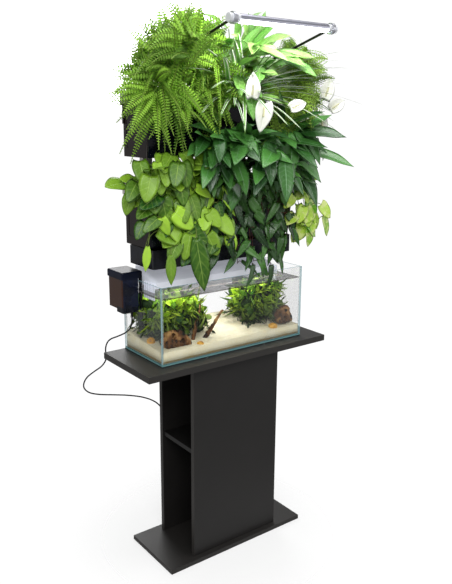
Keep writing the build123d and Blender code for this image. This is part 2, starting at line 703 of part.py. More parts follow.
def planter(rim: float, rail_top: float) -> BuildPart:
    """One planter: three open pockets with drains, a rear flange and lugs that hook over its rail."""
    floor = rim - PLANTER_HEIGHT
    with BuildPart() as made:
        add(trough(rim, (PLANTER_LEFT_X, PLANTER_LEFT_X + PLANTER_LENGTH), 0.0, rim))
        for x in POCKET_XS:
            span = (x - POCKET_LENGTH / 2, x + POCKET_LENGTH / 2)
            add(trough(rim, span, PLANTER_WALL, rim), mode=Mode.SUBTRACT)
        add(emboss_panels(rim), mode=Mode.SUBTRACT)
        flange_half = PLANTER_LENGTH / 2 + FLANGE_PROUD
        add(block(
            (WALL_CENTRE_X - flange_half, WALL_CENTRE_X - PLANTER_LENGTH / 2),
            (PLANTER_BACK_Y - FLANGE_DEPTH, PLANTER_BACK_Y),
            (rim - FLANGE_HEIGHT, rim),
        ))
        add(block(
            (WALL_CENTRE_X + PLANTER_LENGTH / 2, WALL_CENTRE_X + flange_half),
            (PLANTER_BACK_Y - FLANGE_DEPTH, PLANTER_BACK_Y),
            (rim - FLANGE_HEIGHT, rim),
        ))
        hook_z = rail_top + LUG_CLEARANCE
        hook_y = POST_FRONT_Y + LUG_CLEARANCE
        for x in (WALL_CENTRE_X - LUG_OFFSET, WALL_CENTRE_X, WALL_CENTRE_X + LUG_OFFSET):
            with BuildSketch(Plane.YZ.offset(x - LUG_WIDTH / 2)):
                with BuildLine():
                    Polyline(
                        (PLANTER_BACK_Y, rim - PLANTER_WALL),
                        (PLANTER_BACK_Y, hook_z),
                        (hook_y, hook_z),
                        (hook_y, hook_z - LUG_DROP),
                        (hook_y + PLANTER_WALL, hook_z - LUG_DROP),
                        (hook_y + PLANTER_WALL, hook_z + PLANTER_WALL),
                        (PLANTER_BACK_Y - PLANTER_WALL, hook_z + PLANTER_WALL),
                        (PLANTER_BACK_Y - PLANTER_WALL, rim - PLANTER_WALL),
                        close=True,
                    )
                make_face()
            extrude(amount=LUG_WIDTH)
        for x in POCKET_XS:
            with Locations((x, PLANTER_BACK_Y - PLANTER_BOTTOM_DEPTH / 2, floor - DRAIN_DROP)):
                Cylinder(DRAIN_RADIUS + DRAIN_WALL, DRAIN_DROP, align=ON_BASE)
                Cylinder(DRAIN_RADIUS, DRAIN_DROP + PLANTER_WALL, align=ON_BASE, mode=Mode.SUBTRACT)
    return made


save(planter(UPPER_RIM, RAIL_TOPS["rail_upper"]).part, "planter_upper")
save(planter(LOWER_RIM, RAIL_TOPS["rail_lower"]).part, "planter_lower")

with BuildPart() as substrate:
    inset = PLANTER_WALL + SUBSTRATE_CLEARANCE
    for rim in (UPPER_RIM, LOWER_RIM):
        for x in POCKET_XS:
            half = POCKET_LENGTH / 2 - SUBSTRATE_CLEARANCE
            add(trough(rim, (x - half, x + half), inset, rim - SUBSTRATE_BELOW_RIM))
save(substrate.part, "substrate")

with BuildPart() as collector_tray:
    tray_back = TRAY_FRONT_Y + TRAY_DEPTH
    tray_y = TRAY_FRONT_Y + TRAY_DEPTH / 2
    with Locations((WALL_CENTRE_X, tray_y, TRAY_BOTTOM)):
        Box(TRAY_LENGTH, TRAY_DEPTH, TRAY_TOP - TRAY_BOTTOM, align=ON_BASE)
    fillet(collector_tray.edges().filter_by(Axis.Z), PLANTER_CORNER)
    offset(amount=-PLANTER_WALL, openings=collector_tray.faces().sort_by(Axis.Z)[-1])
    for x in POST_XS:
        add(block(
            (x - POST_WIDTH / 2, x + POST_WIDTH / 2),
            (tray_back, POST_FRONT_Y),
            (TRAY_TOP - BRACKET_LEG, TRAY_TOP - BRACKET_LEG / 3),
        ))
    for x in POCKET_XS:
        with Locations((x, tray_y, TRAY_BOTTOM - DRAIN_RADIUS)):
            Cylinder(DRAIN_RADIUS, DRAIN_RADIUS, align=ON_BASE)
            Cylinder(
                DRAIN_RADIUS - DRAIN_WALL, DRAIN_RADIUS + PLANTER_WALL, align=ON_BASE, mode=Mode.SUBTRACT
            )
save(collector_tray.part, "collector_tray")

# ================================================================ filter hung on the left pane
FILTER_CENTRE_X = (FILTER_LEFT_X + FILTER_RIGHT_X) / 2
TANK_INNER_X = -INNER_LENGTH / 2
WELL_FLOOR = MOTOR_TOP - WELL_DEPTH
CHAMBER_FLOOR = MOTOR_TOP + FILTER_WALL


def filter_plan(inset: float) -> Sketch:
    """The filter body seen from above, inset all round, with its two outer corners rounded."""
    with BuildSketch() as plan:
        with Locations((FILTER_CENTRE_X, FILTER_CENTRE_Y)):
            Rectangle(FILTER_WIDTH - 2 * inset, FILTER_LENGTH - 2 * inset)
        fillet(plan.vertices().group_by(Axis.X)[0], FILTER_CORNER - inset)
    return plan.sketch


def plan_part(inset: float, y: tuple) -> Sketch:
    """The stretch of the filter's plan that lies between two depths."""
    with BuildSketch() as cut:
        add(filter_plan(inset))
        with Locations((FILTER_CENTRE_X, (y[0] + y[1]) / 2)):
            Rectangle(FILTER_WIDTH, y[1] - y[0], mode=Mode.INTERSECT)
    return cut.sketch


with BuildPart() as filter_housing:
    with BuildSketch(Plane.XY.offset(MOTOR_TOP)):
        add(filter_plan(0.0))
    extrude(amount=FILTER_TOP - MOTOR_TOP)
    with BuildSketch(Plane.XY.offset(FILTER_FLOOR)):
        add(plan_part(0.0, (MOTOR_BACK_Y, FILTER_BACK_Y)))
    extrude(amount=MOTOR_TOP - FILTER_FLOOR)
    with BuildSketch(Plane.XY.offset(CHAMBER_FLOOR)):
        add(filter_plan(FILTER_WALL))
    extrude(amount=FILTER_TOP - CHAMBER_FLOOR, mode=Mode.SUBTRACT)
    with BuildSketch(Plane.XY.offset(FILTER_FLOOR + FILTER_WALL)):
        add(plan_part(FILTER_WALL, (MOTOR_BACK_Y + FILTER_WALL, FILTER_BACK_Y)))
    extrude(amount=CHAMBER_FLOOR - FILTER_FLOOR - FILTER_WALL, mode=Mode.SUBTRACT)
    with Locations((ROTOR_X, ROTOR_Y, MOTOR_TOP)):
        Cylinder(WELL_RADIUS + FILTER_WALL, FILTER_WALL, align=ON_BASE, mode=Mode.SUBTRACT)
    spill_y = (SPILL_CENTRE_Y - SPILL_WIDTH / 2, SPILL_CENTRE_Y + SPILL_WIDTH / 2)
    spill_floor = TANK_RIM + SPILL_RIM_GAP
    lip_x = (TANK_INNER_X + SPILL_RIM_GAP, TANK_INNER_X + SPILL_RIM_GAP + FILTER_WALL)
    add(block((FILTER_RIGHT_X, lip_x[1]), spill_y, (spill_floor, spill_floor + FILTER_WALL)))
    add(block(lip_x, spill_y, (spill_floor - LUG_DROP, spill_floor)))
    for y in (spill_y[0], spill_y[1] - FILTER_WALL):
        add(block((FILTER_RIGHT_X, lip_x[1]), (y, y + FILTER_WALL), (spill_floor, FILTER_TOP)))
    notch_y = (spill_y[0] + FILTER_WALL, spill_y[1] - FILTER_WALL)
    notch_x = (FILTER_RIGHT_X - FILTER_WALL, FILTER_RIGHT_X)
    add(block(notch_x, notch_y, (spill_floor + FILTER_WALL, FILTER_TOP)), mode=Mode.SUBTRACT)
    spacer_y = (FILTER_CENTRE_Y - FILTER_CORNER, FILTER_CENTRE_Y + FILTER_CORNER)
    spacer_z = (MOTOR_TOP + FILTER_WALL, MOTOR_TOP + FILTER_CORNER)
    add(block((FILTER_RIGHT_X, -TANK_LENGTH / 2), spacer_y, spacer_z))
save(filter_housing.part, "filter_housing")

with BuildPart() as filter_motor:
    with BuildSketch(Plane.XY.offset(MOTOR_BOTTOM)):
        add(plan_part(0.0, (FILTER_FRONT_Y, MOTOR_BACK_Y)))
    extrude(amount=MOTOR_TOP - MOTOR_BOTTOM)
    fillet(filter_motor.edges().group_by(Axis.Z)[0], FILTER_WALL)
    with Locations((ROTOR_X, ROTOR_Y, WELL_FLOOR)):
        Cylinder(WELL_RADIUS, WELL_DEPTH, align=ON_BASE, mode=Mode.SUBTRACT)
        Cylinder(SHAFT_RADIUS, WELL_DEPTH + MOTOR_BACK_Y - ROTOR_Y, align=ON_BASE)
save(filter_motor.part, "filter_motor")


def rotor(x: float, y: float, well_floor: float, mouth: float, vane_floor: float) -> Part:
    """A magnet rotor for a well, with flat vanes above its mouth and a bore for its shaft."""
    magnet = WELL_RADIUS - ROTOR_CLEARANCE
    vane_height = magnet
    with BuildPart() as made:
        with Locations((x, y, well_floor + ROTOR_CLEARANCE)):
            Cylinder(magnet, mouth - well_floor - 2 * ROTOR_CLEARANCE, align=ON_BASE)
        with Locations((x, y, mouth - ROTOR_CLEARANCE)):
            Cylinder(magnet / 2, vane_floor + vane_height - mouth + ROTOR_CLEARANCE, align=ON_BASE)
        with Locations((x, y, vane_floor)):
            with PolarLocations(magnet / 2, ROTOR_VANES):
                Box(magnet, ROTOR_VANE_THICKNESS, vane_height, align=ON_BASE)
        with Locations((x, y, well_floor)):
            bore = SHAFT_RADIUS + SHAFT_CLEARANCE
            Cylinder(bore, vane_floor + vane_height - well_floor, align=ON_BASE, mode=Mode.SUBTRACT)
    return made.part


save(
    rotor(ROTOR_X, ROTOR_Y, WELL_FLOOR, MOTOR_TOP, CHAMBER_FLOOR + ROTOR_CLEARANCE),
    "filter_impeller",
)

with BuildPart() as filter_sponge:
    inset = FILTER_WALL + CONTENT_CLEARANCE
    with BuildSketch(Plane.XY.offset(FILTER_FLOOR + inset)):
        add(plan_part(inset, (MOTOR_BACK_Y + inset, FILTER_BACK_Y)))
    extrude(amount=SPONGE_TOP - FILTER_FLOOR - inset)
save(filter_sponge.part, "filter_sponge")

INTAKE_TANK_X = ROTOR_X + 2 * INTAKE_BEND
INTAKE_TURN_Z = FILTER_TOP - LID_WALL + LID_HEIGHT - INTAKE_BEND - INTAKE_RADIUS - LID_WALL
VANE_TOP = CHAMBER_FLOOR + ROTOR_CLEARANCE + WELL_RADIUS - ROTOR_CLEARANCE
with BuildPart() as filter_intake:
    with BuildLine():
        rise = Line((ROTOR_X, ROTOR_Y, VANE_TOP + FILTER_WALL), (ROTOR_X, ROTOR_Y, INTAKE_TURN_Z))
        over = ThreePointArc(
            rise @ 1,
            (ROTOR_X + INTAKE_BEND, ROTOR_Y, INTAKE_TURN_Z + INTAKE_BEND),
            (INTAKE_TANK_X, ROTOR_Y, INTAKE_TURN_Z),
        )
        Line(over @ 1, (INTAKE_TANK_X, ROTOR_Y, INTAKE_BOTTOM))
    with BuildSketch(Plane.XY.offset(VANE_TOP + FILTER_WALL)):
        with Locations((ROTOR_X, ROTOR_Y)):
            Circle(INTAKE_RADIUS)
            Circle(INTAKE_RADIUS - INTAKE_WALL, mode=Mode.SUBTRACT)
    sweep()
    with Locations((INTAKE_TANK_X, ROTOR_Y, INTAKE_BOTTOM - STRAINER_HEIGHT)):
        Cylinder(STRAINER_RADIUS, STRAINER_HEIGHT, align=ON_BASE)
        Cylinder(
            STRAINER_RADIUS - INTAKE_WALL,
            STRAINER_HEIGHT - INTAKE_WALL,
            align=ON_BASE,
            mode=Mode.SUBTRACT,
        )
        with PolarLocations(STRAINER_RADIUS, STRAINER_SLOTS):
            slot_height = STRAINER_HEIGHT - 4 * INTAKE_RADIUS
            with Locations((0, 0, 2 * INTAKE_RADIUS)):
                Box(4 * INTAKE_WALL, 2 * INTAKE_WALL, slot_height, align=ON_BASE, mode=Mode.SUBTRACT)
    with Locations((INTAKE_TANK_X, ROTOR_Y, INTAKE_BOTTOM - INTAKE_WALL)):
        Cylinder(INTAKE_RADIUS - INTAKE_WALL, INTAKE_WALL, align=ON_BASE, mode=Mode.SUBTRACT)
save(filter_intake.part, "filter_intake")

LID_TOP = FILTER_TOP + LID_HEIGHT
LID_INNER_X = min(-TANK_LENGTH / 2 + LID_TANK_REACH, WALL_CENTRE_X - TRAY_LENGTH / 2 - LID_TRAY_GAP)
LID_X = (FILTER_LEFT_X - LID_OVERHANG, LID_INNER_X)
LID_Y = (FILTER_FRONT_Y - LID_OVERHANG, FILTER_BACK_Y + LID_OVERHANG)
with BuildPart() as filter_lid:
    add(block(LID_X, LID_Y, (FILTER_TOP, LID_TOP)))
    fillet(filter_lid.edges().filter_by(Axis.Z), LID_CORNER)
    fillet(filter_lid.edges().group_by(Axis.Z)[-1], LID_CORNER - LID_WALL)
    offset(amount=-LID_WALL, openings=filter_lid.faces().sort_by(Axis.Z)[0])
    slot = (ROTOR_Y - INTAKE_RADIUS - LID_WALL, ROTOR_Y + INTAKE_RADIUS + LID_WALL)
    slot_x = (INTAKE_TANK_X - INTAKE_RADIUS - LID_WALL, LID_X[1])
    slot_top = INTAKE_TURN_Z + INTAKE_BEND + INTAKE_RADIUS + LID_WALL / 2
    add(block(slot_x, slot, (FILTER_TOP, slot_top)), mode=Mode.SUBTRACT)
save(filter_lid.part, "filter_lid")

# ================================================================ pump, riser and drip pipe
PUMP_TOP = PUMP_BOTTOM + PUMP_HEIGHT
PUMP_ROTOR_X = RISER_X - WELL_RADIUS - RISER_RADIUS + RISER_WALL
PUMP_WELL_FLOOR = PUMP_BOTTOM + RISER_RADIUS
PUMP_WELL_MOUTH = PUMP_WELL_FLOOR + WELL_DEPTH
PUMP_CHAMBER = WELL_RADIUS + FILTER_WALL
PUMP_CHAMBER_TOP = PUMP_WELL_MOUTH + 2 * WELL_RADIUS - FILTER_WALL
with BuildPart() as pump_body:
    with Locations((PUMP_CENTRE_X, PUMP_CENTRE_Y, PUMP_BOTTOM)):
        Box(PUMP_LENGTH, PUMP_DEPTH, PUMP_HEIGHT, align=ON_BASE)
    fillet(pump_body.edges(), FILTER_WALL)
    with Locations((PUMP_ROTOR_X, PUMP_CENTRE_Y, PUMP_WELL_FLOOR)):
        Cylinder(WELL_RADIUS, WELL_DEPTH, align=ON_BASE, mode=Mode.SUBTRACT)
    with Locations((PUMP_ROTOR_X, PUMP_CENTRE_Y, PUMP_WELL_MOUTH)):
        chamber_height = PUMP_CHAMBER_TOP - PUMP_WELL_MOUTH
        Cylinder(PUMP_CHAMBER, chamber_height, align=ON_BASE, mode=Mode.SUBTRACT)
    with Locations((PUMP_ROTOR_X, PUMP_CENTRE_Y, PUMP_WELL_FLOOR)):
        Cylinder(SHAFT_RADIUS, PUMP_CHAMBER_TOP - PUMP_WELL_FLOOR, align=ON_BASE)
    with Locations((RISER_X, PUMP_CENTRE_Y, PUMP_WELL_MOUTH)):
        outlet = RISER_RADIUS - RISER_WALL
        Cylinder(outlet, PUMP_TOP - PUMP_WELL_MOUTH, align=ON_BASE, mode=Mode.SUBTRACT)
    intake_y = (PUMP_CENTRE_Y - PUMP_DEPTH / 2, PUMP_CENTRE_Y - PUMP_CHAMBER / 2)
    for i in range(-1, 2):
        slot_x = PUMP_ROTOR_X + i * PUMP_SLOT_PITCH
        x_span = (slot_x - SHAFT_RADIUS, slot_x + SHAFT_RADIUS)
        add(
            block(x_span, intake_y, (PUMP_WELL_MOUTH + FILTER_WALL, PUMP_CHAMBER_TOP - FILTER_WALL)),
            mode=Mode.SUBTRACT,
        )
    with Locations((PUMP_ROTOR_X, PUMP_CENTRE_Y, PUMP_WELL_MOUTH)):
        Cylinder(SHAFT_RADIUS, chamber_height, align=ON_BASE)
save(pump_body.part, "pump_body")
save(
    rotor(
        PUMP_ROTOR_X,
        PUMP_CENTRE_Y,
        PUMP_WELL_FLOOR,
        PUMP_WELL_MOUTH,
        PUMP_WELL_MOUTH + ROTOR_CLEARANCE,
    ),
    "pump_impeller",
)

DRIP_PIPE_END_X = WALL_CENTRE_X - PLANTER_LENGTH / 2 + LUG_WIDTH / 2
with BuildPart() as riser_tube:
    with BuildLine():
        FilletPolyline(
            (RISER_X, PUMP_CENTRE_Y, PUMP_TOP),
            (RISER_X, PUMP_CENTRE_Y, RISER_TURN_Z),
            (RISER_OUTSIDE_X, PUMP_CENTRE_Y, RISER_TURN_Z + RISER_BEND / 2),
            (RISER_OUTSIDE_X, PUMP_CENTRE_Y, DRIP_PIPE_Z),
            (DRIP_PIPE_END_X, PUMP_CENTRE_Y, DRIP_PIPE_Z),
            radius=RISER_BEND,
        )
    with BuildSketch(Plane.XY.offset(PUMP_TOP)):
        with Locations((RISER_X, PUMP_CENTRE_Y)):
            Circle(RISER_RADIUS)
            Circle(RISER_RADIUS - RISER_WALL, mode=Mode.SUBTRACT)
    sweep()
    with Locations(Plane((DRIP_PIPE_END_X, PUMP_CENTRE_Y, DRIP_PIPE_Z), z_dir=(-1, 0, 0))):
        Cylinder(RISER_RADIUS, RISER_WALL, align=ON_BASE)
    for i in range(DRIP_HOLES):
        hole_x = WALL_CENTRE_X + (i - (DRIP_HOLES - 1) / 2) * PLANTER_LENGTH / (DRIP_HOLES + 1)
        with Locations((hole_x, PUMP_CENTRE_Y, DRIP_PIPE_Z - RISER_RADIUS)):
            Cylinder(DRIP_HOLE_RADIUS, RISER_RADIUS, align=ON_BASE, mode=Mode.SUBTRACT)
save(riser_tube.part, "riser_tube")

# ================================================================ light on two swinging arms
ARM_RUN = hypot(LIGHT_Y - ARM_PIVOT_Y, LIGHT_Z - ARM_PIVOT_Z)
ARM_ALONG = (0.0, (LIGHT_Y - ARM_PIVOT_Y) / ARM_RUN, (LIGHT_Z - ARM_PIVOT_Z) / ARM_RUN)
RING_INNER = LIGHT_RADIUS + RUNNING_FIT
RING_OUTER = RING_INNER + ARM_RING_WALL
for x, label in zip(ARM_XS, ("light_arm_left", "light_arm_right")):
    pivot = Plane((x, ARM_PIVOT_Y, ARM_PIVOT_Z), x_dir=(0, 1, 0), z_dir=(1, 0, 0))
    hold = Plane((x, LIGHT_Y, LIGHT_Z), x_dir=(0, 1, 0), z_dir=(1, 0, 0))
    with BuildPart() as light_arm:
        with BuildSketch(Plane((x, ARM_PIVOT_Y, ARM_PIVOT_Z), z_dir=ARM_ALONG)):
            Circle(ARM_RADIUS)
        extrude(amount=ARM_RUN)
        with Locations(pivot):
            Cylinder(ARM_EYE_RADIUS, ARM_EYE_WIDTH)
            Cylinder(PIVOT_RADIUS + RUNNING_FIT, ARM_EYE_WIDTH, mode=Mode.SUBTRACT)
        with Locations(hold):
            Cylinder(RING_OUTER, ARM_RING_WIDTH)
            Cylinder(RING_INNER, ARM_RING_WIDTH, mode=Mode.SUBTRACT)
    save(light_arm.part, label)

with BuildPart() as arm_brackets:
    for arm_x in ARM_XS:
        plate_y = (POST_FRONT_Y - EAR_THICKNESS, POST_FRONT_Y)
        half_plate = POST_TOP - ARM_PIVOT_Z
        add(block(
            (arm_x - 2 * ARM_EYE_RADIUS, arm_x + 2 * ARM_EYE_RADIUS),
            plate_y,
            (ARM_PIVOT_Z - half_plate, ARM_PIVOT_Z + half_plate),
        ))
        for side in (-1, 1):
            ear_near = arm_x + side * (ARM_EYE_WIDTH / 2 + EAR_SIDE_GAP)
            ear_x = sorted((ear_near, ear_near + side * EAR_THICKNESS))
            add(block(
                ear_x,
                (ARM_PIVOT_Y - ARM_EYE_RADIUS, plate_y[0]),
                (ARM_PIVOT_Z - ARM_EYE_RADIUS, ARM_PIVOT_Z + ARM_EYE_RADIUS),
            ))
        with Locations(Plane((arm_x, ARM_PIVOT_Y, ARM_PIVOT_Z), x_dir=(0, 1, 0), z_dir=(1, 0, 0))):
            Cylinder(PIVOT_RADIUS, ARM_EYE_WIDTH + 2 * (EAR_SIDE_GAP + EAR_THICKNESS))
save(arm_brackets.part, "arm_brackets")


def light_section(outer: float, inner: float, below: bool) -> Sketch:
    """The ring between two radii, cut to the light's lower window or to what is left above it."""
    half = radians(DIFFUSER_ANGLE / 2)
    reach = 2 * outer
    with BuildSketch() as window:
        with BuildLine():
            Polyline(
                (0, 0),
                (reach * sin(half), -reach * cos(half)),
                (reach * sin(half), -reach),
                (-reach * sin(half), -reach),
                (-reach * sin(half), -reach * cos(half)),
                close=True,
            )
        make_face()
    with BuildSketch() as ring:
        Circle(outer)
        Circle(inner, mode=Mode.SUBTRACT)
        add(window.sketch, mode=Mode.INTERSECT if below else Mode.SUBTRACT)
    return ring.sketch


tube_left_end = (WALL_CENTRE_X - LIGHT_LENGTH / 2, LIGHT_Y, LIGHT_Z)
light_left = Plane(tube_left_end, x_dir=(0, 1, 0), z_dir=(1, 0, 0))
with BuildPart() as light_tube:
    with BuildSketch(light_left):
        add(light_section(LIGHT_RADIUS, LIGHT_RADIUS - LIGHT_WALL, False))
        with Locations((0, LIGHT_WALL)):
            Rectangle(2 * (LIGHT_RADIUS - LIGHT_WALL), LIGHT_WALL)
    extrude(amount=LIGHT_LENGTH)
save(light_tube.part, "light_tube")

with BuildPart() as light_diffuser:
    with BuildSketch(light_left):
        add(light_section(LIGHT_RADIUS, LIGHT_RADIUS - LIGHT_WALL, True))
    extrude(amount=LIGHT_LENGTH)
save(light_diffuser.part, "light_diffuser")

with BuildPart() as light_ends:
    for side in (-1, 1):
        tube_end = (WALL_CENTRE_X + side * LIGHT_LENGTH / 2, LIGHT_Y, LIGHT_Z)
        with BuildSketch(Plane(tube_end, x_dir=(0, 1, 0), z_dir=(side, 0, 0))):
            Circle(LIGHT_RADIUS)
        extrude(amount=LIGHT_END_LENGTH)
    outermost = light_ends.faces().sort_by(Axis.X)
    fillet(outermost[0].edges() + outermost[-1].edges(), LIGHT_WALL)
    with BuildSketch(Plane.YZ.offset(WALL_CENTRE_X + LIGHT_LENGTH / 2 + LIGHT_END_LENGTH)):
        with Locations((LIGHT_Y, LIGHT_Z)):
            Circle(INLET_RADIUS)
    extrude(amount=INLET_LENGTH)
save(light_ends.part, "light_ends")

# ================================================================ mains cord, plug and clip
CORD_ROUTE = [
    (-322, 50, 886),
    (-322, 51, 858),
    (-331, 70, 832),
    (-347, 104, 812),
    (-363, 146, 792),
    (-365, 170, 754),
    (-357, 173, 716),
    (-374, 175, 690),
    (-406, 179, 675),
    (-436, 184, 656),
    (-446, 189, 624),
    (-424, 192, 596),
    (-382, 190, 580),
    (-332, 182, 570),
    (-278, 168, 560),
    (-224, 147, 546),
    (-180, 127, 520),
    (-159, 118, 476),
    (-158, 118, 412),
    (-155, 119, 346),
    (-159, 118, 280),
    (-156, 119, 214),
    (-158, 121, 150),
    (-152, 126, 90),
    (-142, 138, 42),
    (-124, 158, 12),
    (-92, 170, 3),
    (-48, 176, 3.2),
    (0, 172, 3),
    (42, 170, 4.6),
    (68, 169.6, 7),
]
EXIT = CORD_ROUTE[0]
TAIL = CORD_ROUTE[-1]


def corner_radii(route: list) -> list:
    """The largest easy radius at each corner of a route, from its two runs and its turn."""
    radii = []
    for before, corner, after in zip(route, route[1:], route[2:]):
        inward = Vector(*corner) - Vector(*before)
        outward = Vector(*after) - Vector(*corner)
        turn = radians(inward.get_angle(outward))
        radii.append(CORNER_SHARE * min(inward.length, outward.length) / tan(turn / 2))
    return radii


cord_radii = corner_radii(CORD_ROUTE)
with BuildPart() as filter_cord:
    with BuildLine() as cord_line:
        FilletPolyline(*CORD_ROUTE, radius=cord_radii)
    first_run = Vector(*CORD_ROUTE[1]) - Vector(*EXIT)
    with BuildSketch(Plane(EXIT, z_dir=first_run)):
        Circle(CORD_RADIUS)
    sweep()
save(filter_cord.part, "filter_cord")
cord_length = cord_line.wires()[0].length
print("cord radii, mm:", [round(radius) for radius in cord_radii])
print(f"cord length {cord_length:.0f} mm, volume over section times length "
      f"{filter_cord.part.volume / (pi * CORD_RADIUS**2 * cord_length):.4f}")

with BuildPart() as cord_relief:
    up = Vector(*EXIT) - Vector(*CORD_ROUTE[1])
    with BuildSketch(Plane(EXIT, z_dir=up)):
        Circle(SOCKET_RADIUS)
    with BuildSketch(Plane.XY.offset(MOTOR_BOTTOM)):
        with Locations((EXIT[0], EXIT[1])):
            Circle(RELIEF_RADIUS)
    loft()
save(cord_relief.part, "cord_relief")

with BuildPart() as filter_plug:
    last_run = Vector(*TAIL) - Vector(*CORD_ROUTE[-2])
    with BuildSketch(Plane(TAIL, z_dir=last_run)):
        Circle(SOCKET_RADIUS)
    body_x = TAIL[0] + PLUG_TAIL
    with BuildSketch(Plane.YZ.offset(body_x)):
        with Locations((TAIL[1], PLUG_HEIGHT / 2)):
            Circle(PLUG_HEIGHT / 2 - PRONG_RADIUS)
    loft()
    plug_y = (TAIL[1] - PLUG_WIDTH / 2, TAIL[1] + PLUG_WIDTH / 2)
    with BuildSketch(Plane.YZ.offset(body_x)):
        with Locations((TAIL[1], PLUG_HEIGHT / 2)):
            RectangleRounded(PLUG_WIDTH, PLUG_HEIGHT, PLUG_HEIGHT / 4)
    extrude(amount=PLUG_LENGTH)
    for side in (-1, 1):
        with BuildSketch(Plane.YZ.offset(body_x + PLUG_LENGTH)):
            with Locations((TAIL[1] + side * PRONG_SPACING / 2, PLUG_HEIGHT / 2)):
                Circle(PRONG_RADIUS)
        extrude(amount=PRONG_LENGTH)
save(filter_plug.part, "filter_plug")

CLIP_RUN = CORD_ROUTE[17:19]
CLIP_Z = (CLIP_RUN[0][2] + CLIP_RUN[1][2]) / 2
CLIP_X = (CLIP_RUN[0][0] + CLIP_RUN[1][0]) / 2
with BuildPart() as cord_clip:
    clear = CORD_RADIUS + CLIP_GAP
    cord_y = CLIP_RUN[0][1]
    z_span = (CLIP_Z - CLIP_HEIGHT / 2, CLIP_Z + CLIP_HEIGHT / 2)
    outer = clear + CLIP_WALL
    add(block((CLIP_X - outer, CLIP_X + outer), (COLUMN_DEPTH / 2, cord_y + outer), z_span))
    inside_y = (COLUMN_DEPTH / 2 + CLIP_WALL, cord_y + clear)
    add(block((CLIP_X - clear, CLIP_X + clear), inside_y, z_span), mode=Mode.SUBTRACT)
save(cord_clip.part, "cord_clip")

# ================================================================ plants, as plain soft masses
WALL_SPAN = (-TOP_LENGTH, TOP_LENGTH)
PLANTER_SPAN = (PLANTER_BACK_Y - PLANTER_TOP_DEPTH - PLANT_GAP, TOP_DEPTH)
UPPER_DRAINS = UPPER_RIM - PLANTER_HEIGHT - DRAIN_DROP
UPPER_ROOM = block(WALL_SPAN, PLANTER_SPAN, (UPPER_DRAINS - PLANT_GAP, UPPER_RIM + PLANT_GAP))
LOWER_ROOM = block(WALL_SPAN, PLANTER_SPAN, (HOOD_TOP, LOWER_RIM + PLANT_GAP))


def arm_slot(x: float) -> Part:
    """The room that one light arm needs as it swings up, from just under its rest line."""
    with BuildPart() as slot:
        with BuildSketch(Plane.YZ.offset(x - ARM_SLOT_HALF)):
            with BuildLine():
                Polyline(
                    (TOP_DEPTH, ARM_PIVOT_Z - ARM_SLOT_DROP),
                    (ARM_PIVOT_Y, ARM_PIVOT_Z - ARM_SLOT_DROP),
                    (LIGHT_Y, LIGHT_Z - ARM_SLOT_DROP),
                    (LIGHT_Y, LIGHT_Z + ARM_RUN),
                    (TOP_DEPTH, LIGHT_Z + ARM_RUN),
                    close=True,
                )
            make_face()
        extrude(amount=2 * ARM_SLOT_HALF)
    return slot.part


SPIDER_ROOM = block(WALL_SPAN, (-TOP_LENGTH, PLANT_GAP), (LOWER_RIM, SPIDER_TOP))
PLANTS = {
    "fern_left": (
        [
            (-400, 842, 48), (-320, 972, 60), (-190, 1052, 68),
            (-96, 1042, 70), (-76, 752, 50), (-240, 732, 45),
        ],
        [(40, 892, 54), (0, 1042, 76), (-90, 1012, 80), (-140, 812, 58), (-110, 742, 50)],
        [UPPER_ROOM, arm_slot(ARM_XS[0])],
        (-120, 30, UPPER_RIM),
    ),
    "peace_lily_top": (
        [(50, 892, 70), (30, 1012, 50), (60, 1084, 58)],
        [(46, 872, 46), (40, 1092, 48), (-80, 1082, 58), (-60, 1012, 60)],
        [UPPER_ROOM, SPIDER_ROOM],
        (50, 50, UPPER_RIM),
    ),
    "spider_plant": (
        [(50, 876, 70), (50, 754, 62)],
        [(-60, 892, 54), (-120, 812, 60), (-110, 752, 50)],
        [UPPER_ROOM],
        (50, -20, UPPER_RIM),
    ),
    "fern_right": (
        [
            (180, 852, 54), (190, 942, 62), (330, 952, 60),
            (440, 892, 55), (430, 812, 60), (250, 782, 60),
        ],
        [(40, 872, 54), (0, 952, 60), (-110, 942, 65), (-130, 822, 58)],
        [UPPER_ROOM, arm_slot(ARM_XS[1])],
        (240, 30, UPPER_RIM),
    ),
    "philodendron": (
        [
            (-340, 432, 70), (-300, 582, 55), (-200, 622, 60), (-70, 622, 55),
            (-60, 372, 45), (-150, 322, 50), (-330, 352, 60),
        ],
        [(40, 597, 52), (-60, 627, 55), (-130, 502, 60), (-120, 332, 60), (-95, 322, 50)],
        [UPPER_ROOM, LOWER_ROOM],
        (-190, 30, LOWER_RIM),
    ),
    "trailing_plant": (
        [(56, 622, 62), (56, 502, 66), (60, 352, 60)],
        [(40, 597, 50), (-60, 622, 55), (-120, 502, 60), (-105, 342, 60)],
        [UPPER_ROOM, LOWER_ROOM],
        (50, 30, LOWER_RIM),
    ),
    "peace_lily_lower": (
        [(194, 602, 62), (198, 642, 56)],
        [(40, 597, 50), (-80, 644, 52), (-130, 612, 50)],
        [UPPER_ROOM, LOWER_ROOM],
        (190, 30, LOWER_RIM),
    ),
    "variegated_pothos": (
        [(332, 562, 60), (350, 442, 66), (330, 362, 58)],
        [(40, 582, 46), (-80, 582, 46), (-120, 482, 60), (-105, 362, 56)],
        [UPPER_ROOM, LOWER_ROOM],
        (290, 30, LOWER_RIM),
    ),
}
for label, (front, side, rooms, (root_x, root_y, rim)) in PLANTS.items():
    with BuildPart() as plant:
        add(mass(front, side))
        for room in rooms:
            add(room, mode=Mode.SUBTRACT)
        with Locations((root_x, root_y, rim - SUBSTRATE_BELOW_RIM)):
            Cylinder(ROOT_RADIUS, ROOT_HEIGHT, align=ON_BASE)
    save(plant.part, label)
